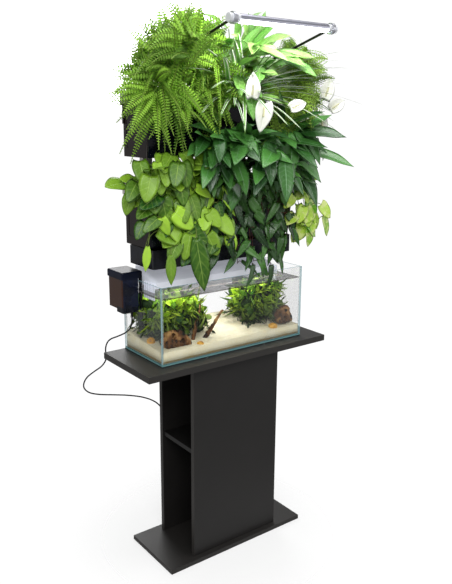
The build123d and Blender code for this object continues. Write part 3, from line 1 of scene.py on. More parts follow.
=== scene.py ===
"""Looks for an aquarium on a column stand, with a planted wall above it.

Metres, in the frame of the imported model: X along the tank, Y towards the back, Z up, and the
origin on the floor under the middle of the stand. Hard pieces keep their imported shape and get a
finish. Water, sand, wood, stones, plants and the mains cord are built here.
"""

import json
import logging
import math
import random
from dataclasses import dataclass, field
from enum import Enum

import bmesh
import bpy
from mathutils import Matrix, Vector, noise

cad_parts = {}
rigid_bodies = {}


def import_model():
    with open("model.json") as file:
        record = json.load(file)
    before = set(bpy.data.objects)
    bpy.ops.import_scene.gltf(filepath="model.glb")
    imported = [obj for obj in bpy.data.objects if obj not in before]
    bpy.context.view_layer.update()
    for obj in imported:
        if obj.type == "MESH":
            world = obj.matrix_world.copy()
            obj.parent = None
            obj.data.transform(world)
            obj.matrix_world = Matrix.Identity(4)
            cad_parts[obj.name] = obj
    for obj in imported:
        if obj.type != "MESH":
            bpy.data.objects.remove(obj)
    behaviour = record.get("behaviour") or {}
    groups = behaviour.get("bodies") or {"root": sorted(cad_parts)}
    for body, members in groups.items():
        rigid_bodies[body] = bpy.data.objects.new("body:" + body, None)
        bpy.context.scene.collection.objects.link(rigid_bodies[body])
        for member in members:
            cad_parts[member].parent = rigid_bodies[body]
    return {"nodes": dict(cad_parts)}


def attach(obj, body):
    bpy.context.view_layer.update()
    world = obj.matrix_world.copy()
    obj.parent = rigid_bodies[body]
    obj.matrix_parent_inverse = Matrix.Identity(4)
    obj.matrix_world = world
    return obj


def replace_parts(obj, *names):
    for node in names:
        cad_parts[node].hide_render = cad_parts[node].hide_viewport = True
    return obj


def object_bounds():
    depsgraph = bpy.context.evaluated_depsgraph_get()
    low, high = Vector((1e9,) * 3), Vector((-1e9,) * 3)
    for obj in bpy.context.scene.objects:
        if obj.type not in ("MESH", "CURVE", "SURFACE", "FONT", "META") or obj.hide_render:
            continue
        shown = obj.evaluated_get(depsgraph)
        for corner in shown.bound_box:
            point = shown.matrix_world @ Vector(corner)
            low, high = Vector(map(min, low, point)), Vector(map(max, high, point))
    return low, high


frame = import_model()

log = logging.getLogger("aquarium")
CAD_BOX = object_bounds()
NODES = frame["nodes"]
Colour = tuple[float, float, float]
ROOT_BODY = "stand"


def tint(red: float, green: float, blue: float) -> Colour:
    """Turn a display colour from 0-255 values into a linear one.

    Args:
        red, green, blue: display values from 0 to 255.

    Returns:
        The linear colour.
    """
    return tuple((value / 255) ** 2.2 for value in (red, green, blue))


# ------------------------------------------------------------------ node trees
class Signal:
    """A number socket of a shader, on which Python's operators add Math nodes."""

    def __init__(self, graph: "Graph", socket: bpy.types.NodeSocket) -> None:
        """Wrap one output socket of a graph."""
        self.graph = graph
        self.socket = socket

    def _join(self, operation: str, *parts: object) -> "Signal":
        """Add one Math node on the given parts."""
        made = self.graph.node("ShaderNodeMath", {"operation": operation}, dict(enumerate(parts)))
        return Signal(self.graph, made.outputs[0])

    def __add__(self, other: object) -> "Signal":
        """self + other."""
        return self._join("ADD", self, other)

    __radd__ = __add__

    def __sub__(self, other: object) -> "Signal":
        """self - other."""
        return self._join("SUBTRACT", self, other)

    def __rsub__(self, other: object) -> "Signal":
        """other - self."""
        return self._join("SUBTRACT", other, self)

    def __mul__(self, other: object) -> "Signal":
        """self * other."""
        return self._join("MULTIPLY", self, other)

    __rmul__ = __mul__

    def __pow__(self, other: object) -> "Signal":
        """self ** other."""
        return self._join("POWER", self, other)

    def __gt__(self, other: object) -> "Signal":
        """1 where self is greater than other, else 0."""
        return self._join("GREATER_THAN", self, other)

    def __lt__(self, other: object) -> "Signal":
        """1 where self is less than other, else 0."""
        return self._join("LESS_THAN", self, other)

    def __or__(self, other: object) -> "Signal":
        """The greater of the two."""
        return self._join("MAXIMUM", self, other)

    def __abs__(self) -> "Signal":
        """The size of self without its sign."""
        return self._join("ABSOLUTE", self)

    def wave(self) -> "Signal":
        """The cosine of self, brought to 0..1."""
        return self._join("COSINE", self) * 0.5 + 0.5

    def held(self) -> "Signal":
        """self held to 0..1."""
        made = self.graph.node("ShaderNodeClamp", {}, {0: self})
        return Signal(self.graph, made.outputs[0])

    def band(self, low: float, high: float) -> "Signal":
        """self stretched so that low gives 0 and high gives 1, and held there."""
        return ((self - low) * (1 / (high - low))).held()


class NodeTree:
    """A node tree whose nodes all come from one method."""

    tree: bpy.types.NodeTree

    def node(self, kind: str, settings: dict | None = None, inputs: dict | None = None) -> bpy.types.Node:
        """Add one node.

        Args:
            kind: the node's type.
            settings: its properties, set first; "stops" are a ramp's (place, colour) pairs.
            inputs: values or links for its sockets, by name or number.

        Returns:
            The new node.
        """
        made = self.tree.nodes.new(kind)
        for key, value in (settings or {}).items():
            if key == "stops":
                self._stops(made.color_ramp, value)
            else:
                setattr(made, key, value)
        for key, value in (inputs or {}).items():
            self.put(made.inputs[key], value)
        return made

    @staticmethod
    def _stops(ramp: bpy.types.ColorRamp, stops: list) -> None:
        """Give a ramp its stops."""
        while len(ramp.elements) < len(stops):
            ramp.elements.new(0.5)
        for element, (place, colour) in zip(ramp.elements, stops):
            element.position = place
            element.color = (*colour, 1.0)

    def put(self, socket: bpy.types.NodeSocket, value: object) -> None:
        """Link or set one input socket."""
        if isinstance(value, Signal):
            value = value.socket
        if isinstance(value, bpy.types.NodeSocket):
            self.tree.links.new(value, socket)
        elif socket.type == "RGBA" and len(value) == 3:
            socket.default_value = (*value, 1.0)
        else:
            socket.default_value = value


class Graph(NodeTree):
    """A material's shader tree, with a Principled shader to be painted."""

    def __init__(self, name: str) -> None:
        """Start a material with an empty tree, its shader and its output."""
        self.material = bpy.data.materials.new(name)
        self.material.use_nodes = True
        self.tree = self.material.node_tree
        self.tree.nodes.clear()
        self.shader = self.node("ShaderNodeBsdfPrincipled")
        self.node("ShaderNodeOutputMaterial", {}, {"Surface": self.shader.outputs[0]})
        self.place = self.node("ShaderNodeTexCoord").outputs["Object"]

    def shade(self, **values: object) -> None:
        """Set or link the shader's sockets, named in words joined with underscores."""
        for key, value in values.items():
            self.put(self.shader.inputs[key.replace("_", " ")], value)

    def axes(self) -> tuple[Signal, Signal, Signal]:
        """The three object coordinates as numbers."""
        parts = self.node("ShaderNodeSeparateXYZ", {}, {0: self.place})
        return tuple(Signal(self, out) for out in parts.outputs)

    def noise(self, scale: float, detail: float = 3.0, stretch: tuple = (1, 1, 1)) -> Signal:
        """Cloudy noise on the object coordinates."""
        mapped = self.node("ShaderNodeMapping", {}, {"Vector": self.place, "Scale": stretch})
        made = self.node(
            "ShaderNodeTexNoise", {}, {"Vector": mapped.outputs[0], "Scale": scale, "Detail": detail}
        )
        return Signal(self, made.outputs[0])

    def cells(self, scale: float, stretch: tuple = (1, 1, 1)) -> Signal:
        """The distance from the nearest of many scattered points."""
        mapped = self.node("ShaderNodeMapping", {}, {"Vector": self.place, "Scale": stretch})
        made = self.node("ShaderNodeTexVoronoi", {}, {"Vector": mapped.outputs[0], "Scale": scale})
        return Signal(self, made.outputs["Distance"])

    def across(self) -> tuple[Signal, Signal]:
        """The two coordinates of the piece's own UV map."""
        uv = self.node("ShaderNodeUVMap", {"uv_map": "UVMap"})
        parts = self.node("ShaderNodeSeparateXYZ", {}, {0: uv.outputs[0]})
        return Signal(self, parts.outputs[0]), Signal(self, parts.outputs[1])

    def own(self, name: str) -> Signal:
        """A number that the piece's mesh carries under a name."""
        return Signal(self, self.node("ShaderNodeAttribute", {"attribute_name": name}).outputs["Fac"])

    def mix(self, share: object, first: object, second: object) -> bpy.types.NodeSocket:
        """A colour part of the way from first to second."""
        made = self.node("ShaderNodeMix", {"data_type": "RGBA"}, {0: share, 6: first, 7: second})
        return made.outputs[2]

    def ramp(self, value: Signal, stops: list) -> bpy.types.NodeSocket:
        """A colour from a ramp of (place, colour) stops."""
        return self.node("ShaderNodeValToRGB", {"stops": stops}, {0: value}).outputs[0]

    def bump(self, height: Signal, distance: float, strength: float = 1.0) -> None:
        """Raise the surface by a height signal."""
        inputs = {"Height": height, "Distance": distance, "Strength": strength}
        self.shade(Normal=self.node("ShaderNodeBump", {}, inputs).outputs[0])


class GeometryTree(NodeTree):
    """A Geometry Nodes tree with named inputs, run once to give a plain mesh."""

    def __init__(self, name: str, inputs: dict[str, str]) -> None:
        """Start a tree.

        Args:
            name: the tree's name.
            inputs: each input's name and its socket's short type, such as "Float".
        """
        self.tree = bpy.data.node_groups.new(name, "GeometryNodeTree")
        for key, kind in {"Geometry": "Geometry", **inputs}.items():
            self.tree.interface.new_socket(key, in_out="INPUT", socket_type=f"NodeSocket{kind}")
        self.tree.interface.new_socket("Geometry", in_out="OUTPUT", socket_type="NodeSocketGeometry")
        self.source = self.node("NodeGroupInput").outputs

    def attribute(self, name: str, kind: str) -> bpy.types.NodeSocket:
        """A value stored on the geometry under a name."""
        made = self.node("GeometryNodeInputNamedAttribute", {"data_type": kind}, {"Name": name})
        return next(out for out in made.outputs if out.enabled and out.name == "Attribute")

    def towards(self, along: object, facing: object) -> bpy.types.NodeSocket:
        """The rotation that turns Y to one direction, and then Z as near as it goes to another."""
        kind = "FunctionNodeAlignRotationToVector"
        first = self.node(kind, {"axis": "Y"}, {"Vector": along})
        second = self.node(
            kind, {"axis": "Z", "pivot_axis": "Y"}, {"Rotation": first.outputs[0], "Vector": facing}
        )
        return second.outputs[0]

    def end(self, *parts: bpy.types.NodeSocket) -> None:
        """Join the parts, realize their instances, set the finish and close the tree."""
        joined = self.node("GeometryNodeJoinGeometry")
        for part in parts:
            self.tree.links.new(part, joined.inputs[0])
        real = self.node("GeometryNodeRealizeInstances", {}, {0: joined.outputs[0]})
        dressed = self.node(
            "GeometryNodeSetMaterial", {}, {0: real.outputs[0], "Material": self.source["Finish"]}
        )
        self.node("NodeGroupOutput", {}, {0: dressed.outputs[0]})

    def run(self, host: bpy.types.Object, **values: object) -> bpy.types.Mesh:
        """Evaluate the tree on an object.

        Args:
            host: the object whose geometry goes in.
            values: the named inputs' values.

        Returns:
            The resulting plain mesh.
        """
        modifier = host.modifiers.new("tree", "NODES")
        modifier.node_group = self.tree
        for item in self.tree.interface.items_tree:
            if item.in_out == "INPUT" and item.name in values:
                modifier[item.identifier] = values[item.name]
        seen = host.evaluated_get(bpy.context.evaluated_depsgraph_get())
        mesh = bpy.data.meshes.new_from_object(seen)
        host.modifiers.remove(modifier)
        return mesh


# ------------------------------------------------------------------ finishes
PAINTED: dict[str, bpy.types.Material] = {}


@dataclass(frozen=True)
class Finish:
    """A surface finish, painted once into a material."""

    name: str

    def paint(self, g: Graph) -> None:
        """Paint the finish into a material's graph."""
        raise NotImplementedError

    def material(self) -> bpy.types.Material:
        """The finish's material, made when first asked for."""
        if self.name not in PAINTED:
            graph = Graph(self.name)
            self.paint(graph)
            PAINTED[self.name] = graph.material
        return PAINTED[self.name]


@dataclass(frozen=True)
class Laminate(Finish):
    """Fine-speckled laminate with paler edge banding at its outer faces."""

    reach: tuple[float, float] = (1.0, 1.0)
    dark: Colour = tint(30, 29, 28)
    light: Colour = tint(46, 44, 43)
    banding: Colour = tint(52, 50, 48)

    def paint(self, g: Graph) -> None:
        """Speckle, faint clouding, banding and a satin sheen."""
        x, y, _ = g.axes()
        speckle = g.noise(1500, 2)
        cloud = g.noise(9, 3)
        face = g.mix((speckle.band(0.35, 0.68) * 0.7 + cloud * 0.3).held(), self.dark, self.light)
        edge = (abs(x) > self.reach[0] - 0.0007) | (abs(y) > self.reach[1] - 0.0007)
        g.shade(Base_Color=g.mix(edge, face, self.banding), Roughness=0.4 + cloud * 0.12)
        g.bump(speckle, 0.00006, 0.5)


@dataclass(frozen=True)
class Glass(Finish):
    """Float glass: clear faces, pale polished ends and a green-blue foot."""

    ends: tuple[bool, bool] = (True, False)
    half: tuple[float, float] = (0.2994, 0.1219)
    centre_y: float = 0.022
    rim: float = 1.0103
    foot: float = 0.7563

    def paint(self, g: Graph) -> None:
        """Clear faces by alpha, with solid colour where the glass is seen end on."""
        x, y, z = g.axes()
        edge = (z > self.rim) | (z < self.foot)
        if self.ends[0]:
            edge = edge | (abs(x) > self.half[0])
        if self.ends[1]:
            edge = edge | (abs(y - self.centre_y) > self.half[1])
        smear = g.noise(30, 2)
        grazing = Signal(g, g.node("ShaderNodeFresnel", {}, {"IOR": 1.45}).outputs[0])
        ends = g.mix(z < self.foot + 0.0015, tint(178, 218, 226), tint(140, 196, 198))
        g.shade(
            Base_Color=g.mix(edge, tint(244, 250, 250), ends),
            Metallic=1 - edge,
            Roughness=0.02 + smear * 0.03,
            Alpha=(grazing * 0.16 + smear * 0.004 + edge * 0.62).held(),
        )


@dataclass(frozen=True)
class Water(Finish):
    """Still water: almost clear, with a painted reflection of dull blotches on its surface."""

    level: float = 0.971

    def paint(self, g: Graph) -> None:
        """A faint green body and a ruffled, darker top that carries a painted reflection."""
        _, _, z = g.axes()
        top = z > self.level - 0.0025
        blotch = g.noise(26, 5, (0.6, 1.6, 1.0))
        # Painted reflection: grey and brown blotches on the top stand in for what the surface mirrors from
        # above; the same blotches set how opaque the top is.
        stops = [
            (0.32, tint(52, 52, 60)), (0.46, tint(100, 92, 84)), (0.58, tint(76, 62, 50)),
            (0.72, tint(132, 130, 134))
        ]
        g.shade(
            Base_Color=g.mix(top, tint(30, 60, 24), g.ramp(blotch, stops)),
            Roughness=0.08,
            Alpha=(0.02 + top * (0.62 + blotch * 0.3)).held(),
        )
        g.bump(g.noise(60, 3) * top, 0.0012, 0.5)


@dataclass(frozen=True)
class Plastic(Finish):
    """Moulded plastic with slight mottling and wiping marks."""

    colour: Colour = tint(14, 15, 22)
    glow: Colour = tint(26, 30, 44)
    rough: float = 0.2
    grain: float = 700.0
    relief: float = 0.00005
    mirror: float = 0.4

    def paint(self, g: Graph) -> None:
        """A cloudy base colour, uneven gloss and a fine moulded grain."""
        g.shade(Specular_IOR_Level=self.mirror)
        cloud = g.noise(18, 4)
        wiped = g.noise(45, 2, (1, 1, 0.15))
        g.shade(
            Base_Color=g.mix(cloud.band(0.35, 0.7), self.colour, self.glow),
            Roughness=self.rough + wiped * 0.12
        )
        g.bump(g.noise(self.grain, 2) + cloud * 2, self.relief, 0.6)


@dataclass(frozen=True)
class Splashed(Plastic):
    """Glossy plastic with dried drops and a painted brown reflection on its left-hand ends."""

    reflection_tint: Colour = tint(70, 42, 24)
    reflection_tint_x: float = -0.2865

    def paint(self, g: Graph) -> None:
        """The plain finish, then the painted reflection on the ends and the drops."""
        g.shade(Specular_IOR_Level=self.mirror)
        x, _, _ = g.axes()
        cloud = g.noise(18, 4)
        base = g.mix(cloud.band(0.35, 0.7), self.colour, self.glow)
        drops = 1 - g.cells(95).band(0.10, 0.16)
        # Painted reflection: the faces left of the given x are tinted brown, standing in for brown
        # surroundings mirrored there.
        reflection_tinted = g.mix((x < self.reflection_tint_x) * 0.8, base, self.reflection_tint)
        g.shade(
            Base_Color=g.mix(drops * g.noise(12).band(0.5, 0.6) * 0.35, reflection_tinted, tint(120, 125, 130)),
            Roughness=self.rough + drops * 0.25,
        )
        g.bump(drops + cloud * 2, 0.0001, 0.5)


@dataclass(frozen=True)
class Metal(Finish):
    """Brushed or anodised metal."""

    colour: Colour = tint(165, 165, 170)
    rough: float = 0.3
    stretch: tuple = (4, 300, 300)
    front: float = -1.0

    def paint(self, g: Graph) -> None:
        """Fine lines along one axis over a faint cloud, silver ahead of the given depth."""
        _, y, _ = g.axes()
        lines = g.noise(5, 3, self.stretch)
        dark = tuple(value * 0.72 for value in self.colour)
        body = g.mix(lines, dark, self.colour)
        g.shade(
            Base_Color=g.mix(y < self.front, body, tint(196, 197, 204)), Metallic=1.0,
            Roughness=self.rough + lines * 0.15
        )
        g.bump(lines, 0.00004, 0.4)


@dataclass(frozen=True)
class Timber(Finish):
    """Weathered grey wood with grain along one axis."""

    stretch: tuple = (22, 22, 1.2)

    def paint(self, g: Graph) -> None:
        """Long grain, dark cracks and a dry surface."""
        grain = g.noise(9, 6, self.stretch)
        crack = g.noise(16, 3, tuple(3 * value if value > 2 else value for value in self.stretch))
        stops = [(0.3, tint(150, 144, 140)), (0.5, tint(200, 195, 193)), (0.7, tint(222, 218, 218))]
        wood = g.ramp(grain, stops)
        g.shade(
            Base_Color=g.mix(crack.band(0.62, 0.7), wood, tint(84, 78, 74)), Roughness=0.7 + grain * 0.15
        )
        g.bump(grain + crack.band(0.62, 0.7) * -1.0, 0.0006, 0.7)


@dataclass(frozen=True)
class Sand(Finish):
    """Pale sand, tan where it is packed against the tank's floor."""

    floor: float = 0.756

    def paint(self, g: Graph) -> None:
        """Coloured grains, soft drifts and a tan lowest layer."""
        _, _, z = g.axes()
        grains = g.cells(750)
        drift = g.noise(24, 4)
        top = g.ramp(
            (grains * 0.9 + drift * 0.5).held(),
            [(0.25, tint(222, 196, 132)), (0.5, tint(244, 232, 184)), (0.8, tint(255, 250, 222))]
        )
        packed = 1 - (z + drift * 0.006).band(self.floor + 0.009, self.floor + 0.013)
        g.shade(Base_Color=g.mix(packed * 0.9, top, tint(196, 154, 72)), Roughness=0.9)
        g.bump(grains + drift * 3, 0.0006, 0.8)


@dataclass(frozen=True)
class Bark(Finish):
    """Old bored driftwood: tan ridges, dark grooves and round worm holes, with painted shade in the holes.
    """

    pale: Colour = tint(200, 154, 96)
    deep: Colour = tint(44, 27, 14)
    holes: float = 46.0

    def paint(self, g: Graph) -> None:
        """Ridges, grooves and holes that are sunk; the holes, and partly the grooves, are darkened as
        painted shade.
        """
        ridge = g.noise(34, 6, (1, 1, 0.35))
        hole = 1 - g.cells(self.holes, (1, 1, 0.7)).band(0.22, 0.32)
        # Painted shade: the worm holes are darkened almost to black; the dark low end of the ridge ramp is
        # partly the wood's own colour and partly painted shade in the grooves.
        stops = [(0.36, self.deep), (0.52, tint(112, 72, 34)), (0.66, self.pale)]
        g.shade(Base_Color=g.mix(hole * 0.92, g.ramp(ridge, stops), tint(22, 13, 8)), Roughness=0.75)
        g.bump(ridge * 1.6 - hole * 1.4, 0.003, 0.9)


@dataclass(frozen=True)
class Stone(Finish):
    """A smooth ochre pebble."""

    def paint(self, g: Graph) -> None:
        """Warm blotches and tiny pits."""
        blotch = g.noise(55, 5)
        stops = [(0.3, tint(150, 96, 22)), (0.5, tint(224, 160, 44)), (0.72, tint(244, 198, 100))]
        g.shade(Base_Color=g.ramp(blotch, stops), Roughness=0.35 + blotch * 0.2)
        g.bump(g.noise(260, 3), 0.0003, 0.5)


@dataclass(frozen=True)
class Soil(Finish):
    """Dark loose growing mix, foam or sponge."""

    dark: Colour = tint(24, 17, 12)
    light: Colour = tint(74, 56, 40)
    scale: float = 320.0

    def paint(self, g: Graph) -> None:
        """Crumbs of two colours over a rough surface."""
        crumbs = g.cells(self.scale)
        g.shade(Base_Color=g.mix((crumbs * 1.4).held(), self.dark, self.light), Roughness=0.9)
        g.bump(crumbs, 0.0016, 0.9)


@dataclass(frozen=True)
class Frosted(Finish):
    """Pale see-through plastic or silicone."""

    colour: Colour = tint(222, 228, 236)
    cover: float = 0.6
    rough: float = 0.25
    glow: float = 0.0

    def paint(self, g: Graph) -> None:
        """A milky body with uneven cover, and a painted glow where asked, standing in for light that it
        passes on.
        """
        cloud = g.noise(40, 3)
        dim = tuple(value * 0.88 for value in self.colour)
        # Painted light: where glow is above 0, an emission makes the plastic glow though it holds no lamp.
        g.shade(
            Base_Color=g.mix(cloud, dim, self.colour),
            Roughness=self.rough + cloud * 0.1,
            Alpha=(self.cover + cloud * 0.15).held(),
            Emission_Color=self.colour,
            Emission_Strength=self.glow,
        )
        g.bump(cloud, 0.0001, 0.4)


@dataclass(frozen=True)
class Lamp(Finish):
    """The light's glowing lower window."""

    strength: float = 5.0

    def paint(self, g: Graph) -> None:
        """An even glow, with the emitters showing faintly through."""
        x, _, _ = g.axes()
        spots = (x * (2 * math.pi / 0.0125)).wave()
        g.shade(Base_Color=tint(240, 244, 250), Roughness=0.4, Emission_Strength=self.strength)
        g.shade(Emission_Color=g.mix(spots * 0.3, tint(246, 250, 255), tint(255, 255, 255)))


@dataclass(frozen=True)
class Leaf(Finish):
    """A leaf: midrib, side veins, tone from plant to plant and, where asked, pale variegation."""

    dark: Colour = tint(40, 110, 25)
    light: Colour = tint(150, 205, 60)
    vein: Colour = tint(170, 215, 110)
    veins: float = 7.0
    rough: float = 0.4
    margin: Colour = tint(235, 240, 215)
    margin_from: float = 2.0
    splash: float = 0.0
    shine: float = 0.2
    unlit: tuple[float, float] | None = None
    gloom: Colour = tint(30, 54, 8)

    def paint(self, g: Graph) -> None:
        """Colour, veins and relief from the blade's own coordinates, and gloom low in a thicket."""
        u, v = g.across()
        off = abs(u - 0.5) * 2
        tone = g.own("tone")
        mottle = g.noise(70, 3)
        rib = (1 - off * 14).held()
        side = (((v * self.veins - off * 1.3) * (2 * math.pi)).wave() ** 9) * (1 - off * 0.6)
        body = g.mix((tone + (mottle - 0.5) * 0.25).held(), self.dark, self.light)
        body = g.mix((side * 0.2 | rib * 0.6).held(), body, self.vein)
        if self.margin_from < 1.0:
            body = g.mix(off.band(self.margin_from, self.margin_from + 0.12), body, self.margin)
        if self.splash:
            patch = g.noise(38, 4).band(0.5, 0.56)
            body = g.mix(patch * self.splash, body, self.margin)
        if self.unlit:
            _, _, z = g.axes()
            body = g.mix((z + (mottle - 0.5) * 0.03).band(*self.unlit), self.gloom, body)
        g.shade(Base_Color=body, Roughness=self.rough + mottle * 0.12, Specular_IOR_Level=0.5)
        g.shade(Coat_Weight=self.shine, Coat_Roughness=0.3)
        g.bump(side * -0.6 - rib * 1.2 + mottle * 0.2, 0.0009, 0.7)


@dataclass(frozen=True)
class Stalk(Finish):
    """A green or brown stem."""

    dark: Colour = tint(48, 80, 20)
    light: Colour = tint(120, 150, 60)

    def paint(self, g: Graph) -> None:
        """Streaks along the stem."""
        streak = g.noise(120, 3, (1, 1, 0.3))
        g.shade(Base_Color=g.mix(streak, self.dark, self.light), Roughness=0.5)
        g.bump(streak, 0.0003, 0.5)


# ------------------------------------------------------------------ shared shapes
def piece_from(
    mesh: bpy.types.Mesh, name: str, finish: Finish | None = None
) -> bpy.types.Object:
    """Put a finished mesh in the scene as one piece that rides on the stand.

    Args:
        mesh: the mesh, with its place in its vertices.
        name: the piece's name.
        finish: its finish, where the mesh has none yet.

    Returns:
        The new object.
    """
    mesh.name = name
    if finish is not None:
        mesh.materials.clear()
        mesh.materials.append(finish.material())
    made = bpy.data.objects.new(name, mesh)
    bpy.context.scene.collection.objects.link(made)
    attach(made, ROOT_BODY)
    log.info("%s: %d faces", name, len(mesh.polygons))
    return made


def dress(finish: Finish, *nodes: str) -> None:
    """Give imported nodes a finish."""
    for name in nodes:
        mesh = NODES[name].data
        mesh.materials.clear()
        mesh.materials.append(finish.material())


def smooth(mesh: bpy.types.Mesh) -> bpy.types.Mesh:
    """Shade every face smoothly, and give the mesh back."""
    mesh.polygons.foreach_set("use_smooth", [True] * len(mesh.polygons))
    return mesh


def clean_copy(node: str) -> bmesh.types.BMesh:
    """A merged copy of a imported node's mesh, ready to be worked on."""
    work = bmesh.new()
    work.from_mesh(NODES[node].data)
    bmesh.ops.remove_doubles(work, verts=work.verts, dist=0.00002)
    return work


def modified(mesh: bpy.types.Mesh, kind: str, **settings: object) -> bpy.types.Mesh:
    """The mesh after one modifier, applied."""
    host = bpy.data.objects.new("host", mesh)
    bpy.context.scene.collection.objects.link(host)
    modifier = host.modifiers.new("step", kind)
    for key, value in settings.items():
        setattr(modifier, key, value)
    made = bpy.data.meshes.new_from_object(host.evaluated_get(bpy.context.evaluated_depsgraph_get()))
    bpy.data.objects.remove(host)
    return made


def roughened(node: str, voxel: float, depth: float, scale: float, inward: float = 0.0) -> bpy.types.Mesh:
    """A packed soft solid remade as a natural lump.

    Args:
        node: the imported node.
        voxel: the remesh size.
        depth: how far the surface moves in or out.
        scale: the size of the lumps, per metre.
        inward: how far the whole surface is drawn in first.

    Returns:
        The lumpy mesh.
    """
    work = clean_copy(node)
    mesh = bpy.data.meshes.new(node)
    work.to_mesh(mesh)
    work.free()
    mesh = modified(mesh, "REMESH", mode="VOXEL", voxel_size=voxel, use_smooth_shade=True)
    normals = [vertex.normal.copy() for vertex in mesh.vertices]
    for vertex, normal in zip(mesh.vertices, normals):
        lump = noise.fractal(vertex.co * scale, 0.9, 2.1, 4)
        vertex.co += normal * (depth * lump - inward)
    mesh.update()
    return smooth(mesh)


@dataclass
class Blade:
    """The outline and set of one leaf blade, a unit long, flat on XY with its foot at the origin."""

    width: float
    fullest: float = 0.42
    lobe: float = 0.0
    arch: float = 0.15
    fold: float = 0.15
    ripple: float = 0.02
    rows: int = 9
    columns: int = 6
    point: float = 1.0

    def half_width(self, t: float) -> float:
        """Half the blade's width at a share t of its length."""
        warped = t ** (math.log(0.5) / math.log(self.fullest))
        return 0.5 * self.width * max(math.sin(math.pi * warped), 0.0) ** self.point

    def mesh(self, name: str) -> bpy.types.Mesh:
        """The blade as a thin closed mesh with a UV map across and along it."""
        work = bmesh.new()
        uv = work.loops.layers.uv.new("UVMap")
        start = 0.12 if self.lobe else 0.0
        upper, lower, where = [], [], {}
        for j in range(self.rows + 1):
            t = start + (1 - start) * j / self.rows
            along = j / self.rows
            tip = j == self.rows or (j == 0 and not self.lobe)
            over, under = [], []
            for i in range(self.columns + 1):
                s = 0.0 if tip else 2 * i / self.columns - 1
                half = self.half_width(t)
                back = self.lobe * abs(s) ** 1.6 * (1 - t) ** 2
                up = -self.arch * along**2 + self.fold * abs(s) * half + self.ripple * math.sin(
                    11 * t + (2 if s > 0 else 0)
                ) * s * s
                if not (tip and over):
                    over.append(work.verts.new((s * half, along - back, up)))
                    where[over[-1]] = (0.5 + 0.5 * s, along)
                inner = 0 < i < self.columns and 0 < j < self.rows
                under.append(
                    work.verts.new((s * half, along - back, up - 0.012 * self.width)) if inner
                    else over[-1]
                )
                where[under[-1]] = (0.5 + 0.5 * s, along)
            upper.append(over * (self.columns + 1) if tip else over)
            lower.append(under)
        for rows, turned in ((upper, 1), (lower, -1)):
            for low, high in zip(rows, rows[1:]):
                for i in range(self.columns):
                    corners = list(dict.fromkeys((low[i], low[i + 1], high[i + 1], high[i])))
                    for loop in work.faces.new(corners[::turned]).loops:
                        loop[uv].uv = where[loop.vert]
        made = bpy.data.meshes.new(name)
        work.to_mesh(made)
        work.free()
        return smooth(made)


def store(mesh: bpy.types.Mesh, name: str, kind: str, values: list) -> None:
    """Keep one value for each vertex under a name."""
    made = mesh.attributes.new(name, kind, "POINT")
    if kind == "FLOAT_VECTOR":
        made.data.foreach_set("vector", [part for value in values for part in value])
    else:
        made.data.foreach_set("value", values)


@dataclass
class Sprig:
    """Where one blade sits, how it lies, and its size and tone."""

    at: Vector
    along: Vector
    facing: Vector
    size: float
    tone: float
    variant: int = 0


@dataclass
class Run:
    """One stem, stalk or frond rib: its line, which way its upper side faces, and its leaflets' reach."""

    points: list[Vector]
    facing: list[Vector] = field(default_factory=list)
    reach: list[float] = field(default_factory=list)
    tone: float = 0.5


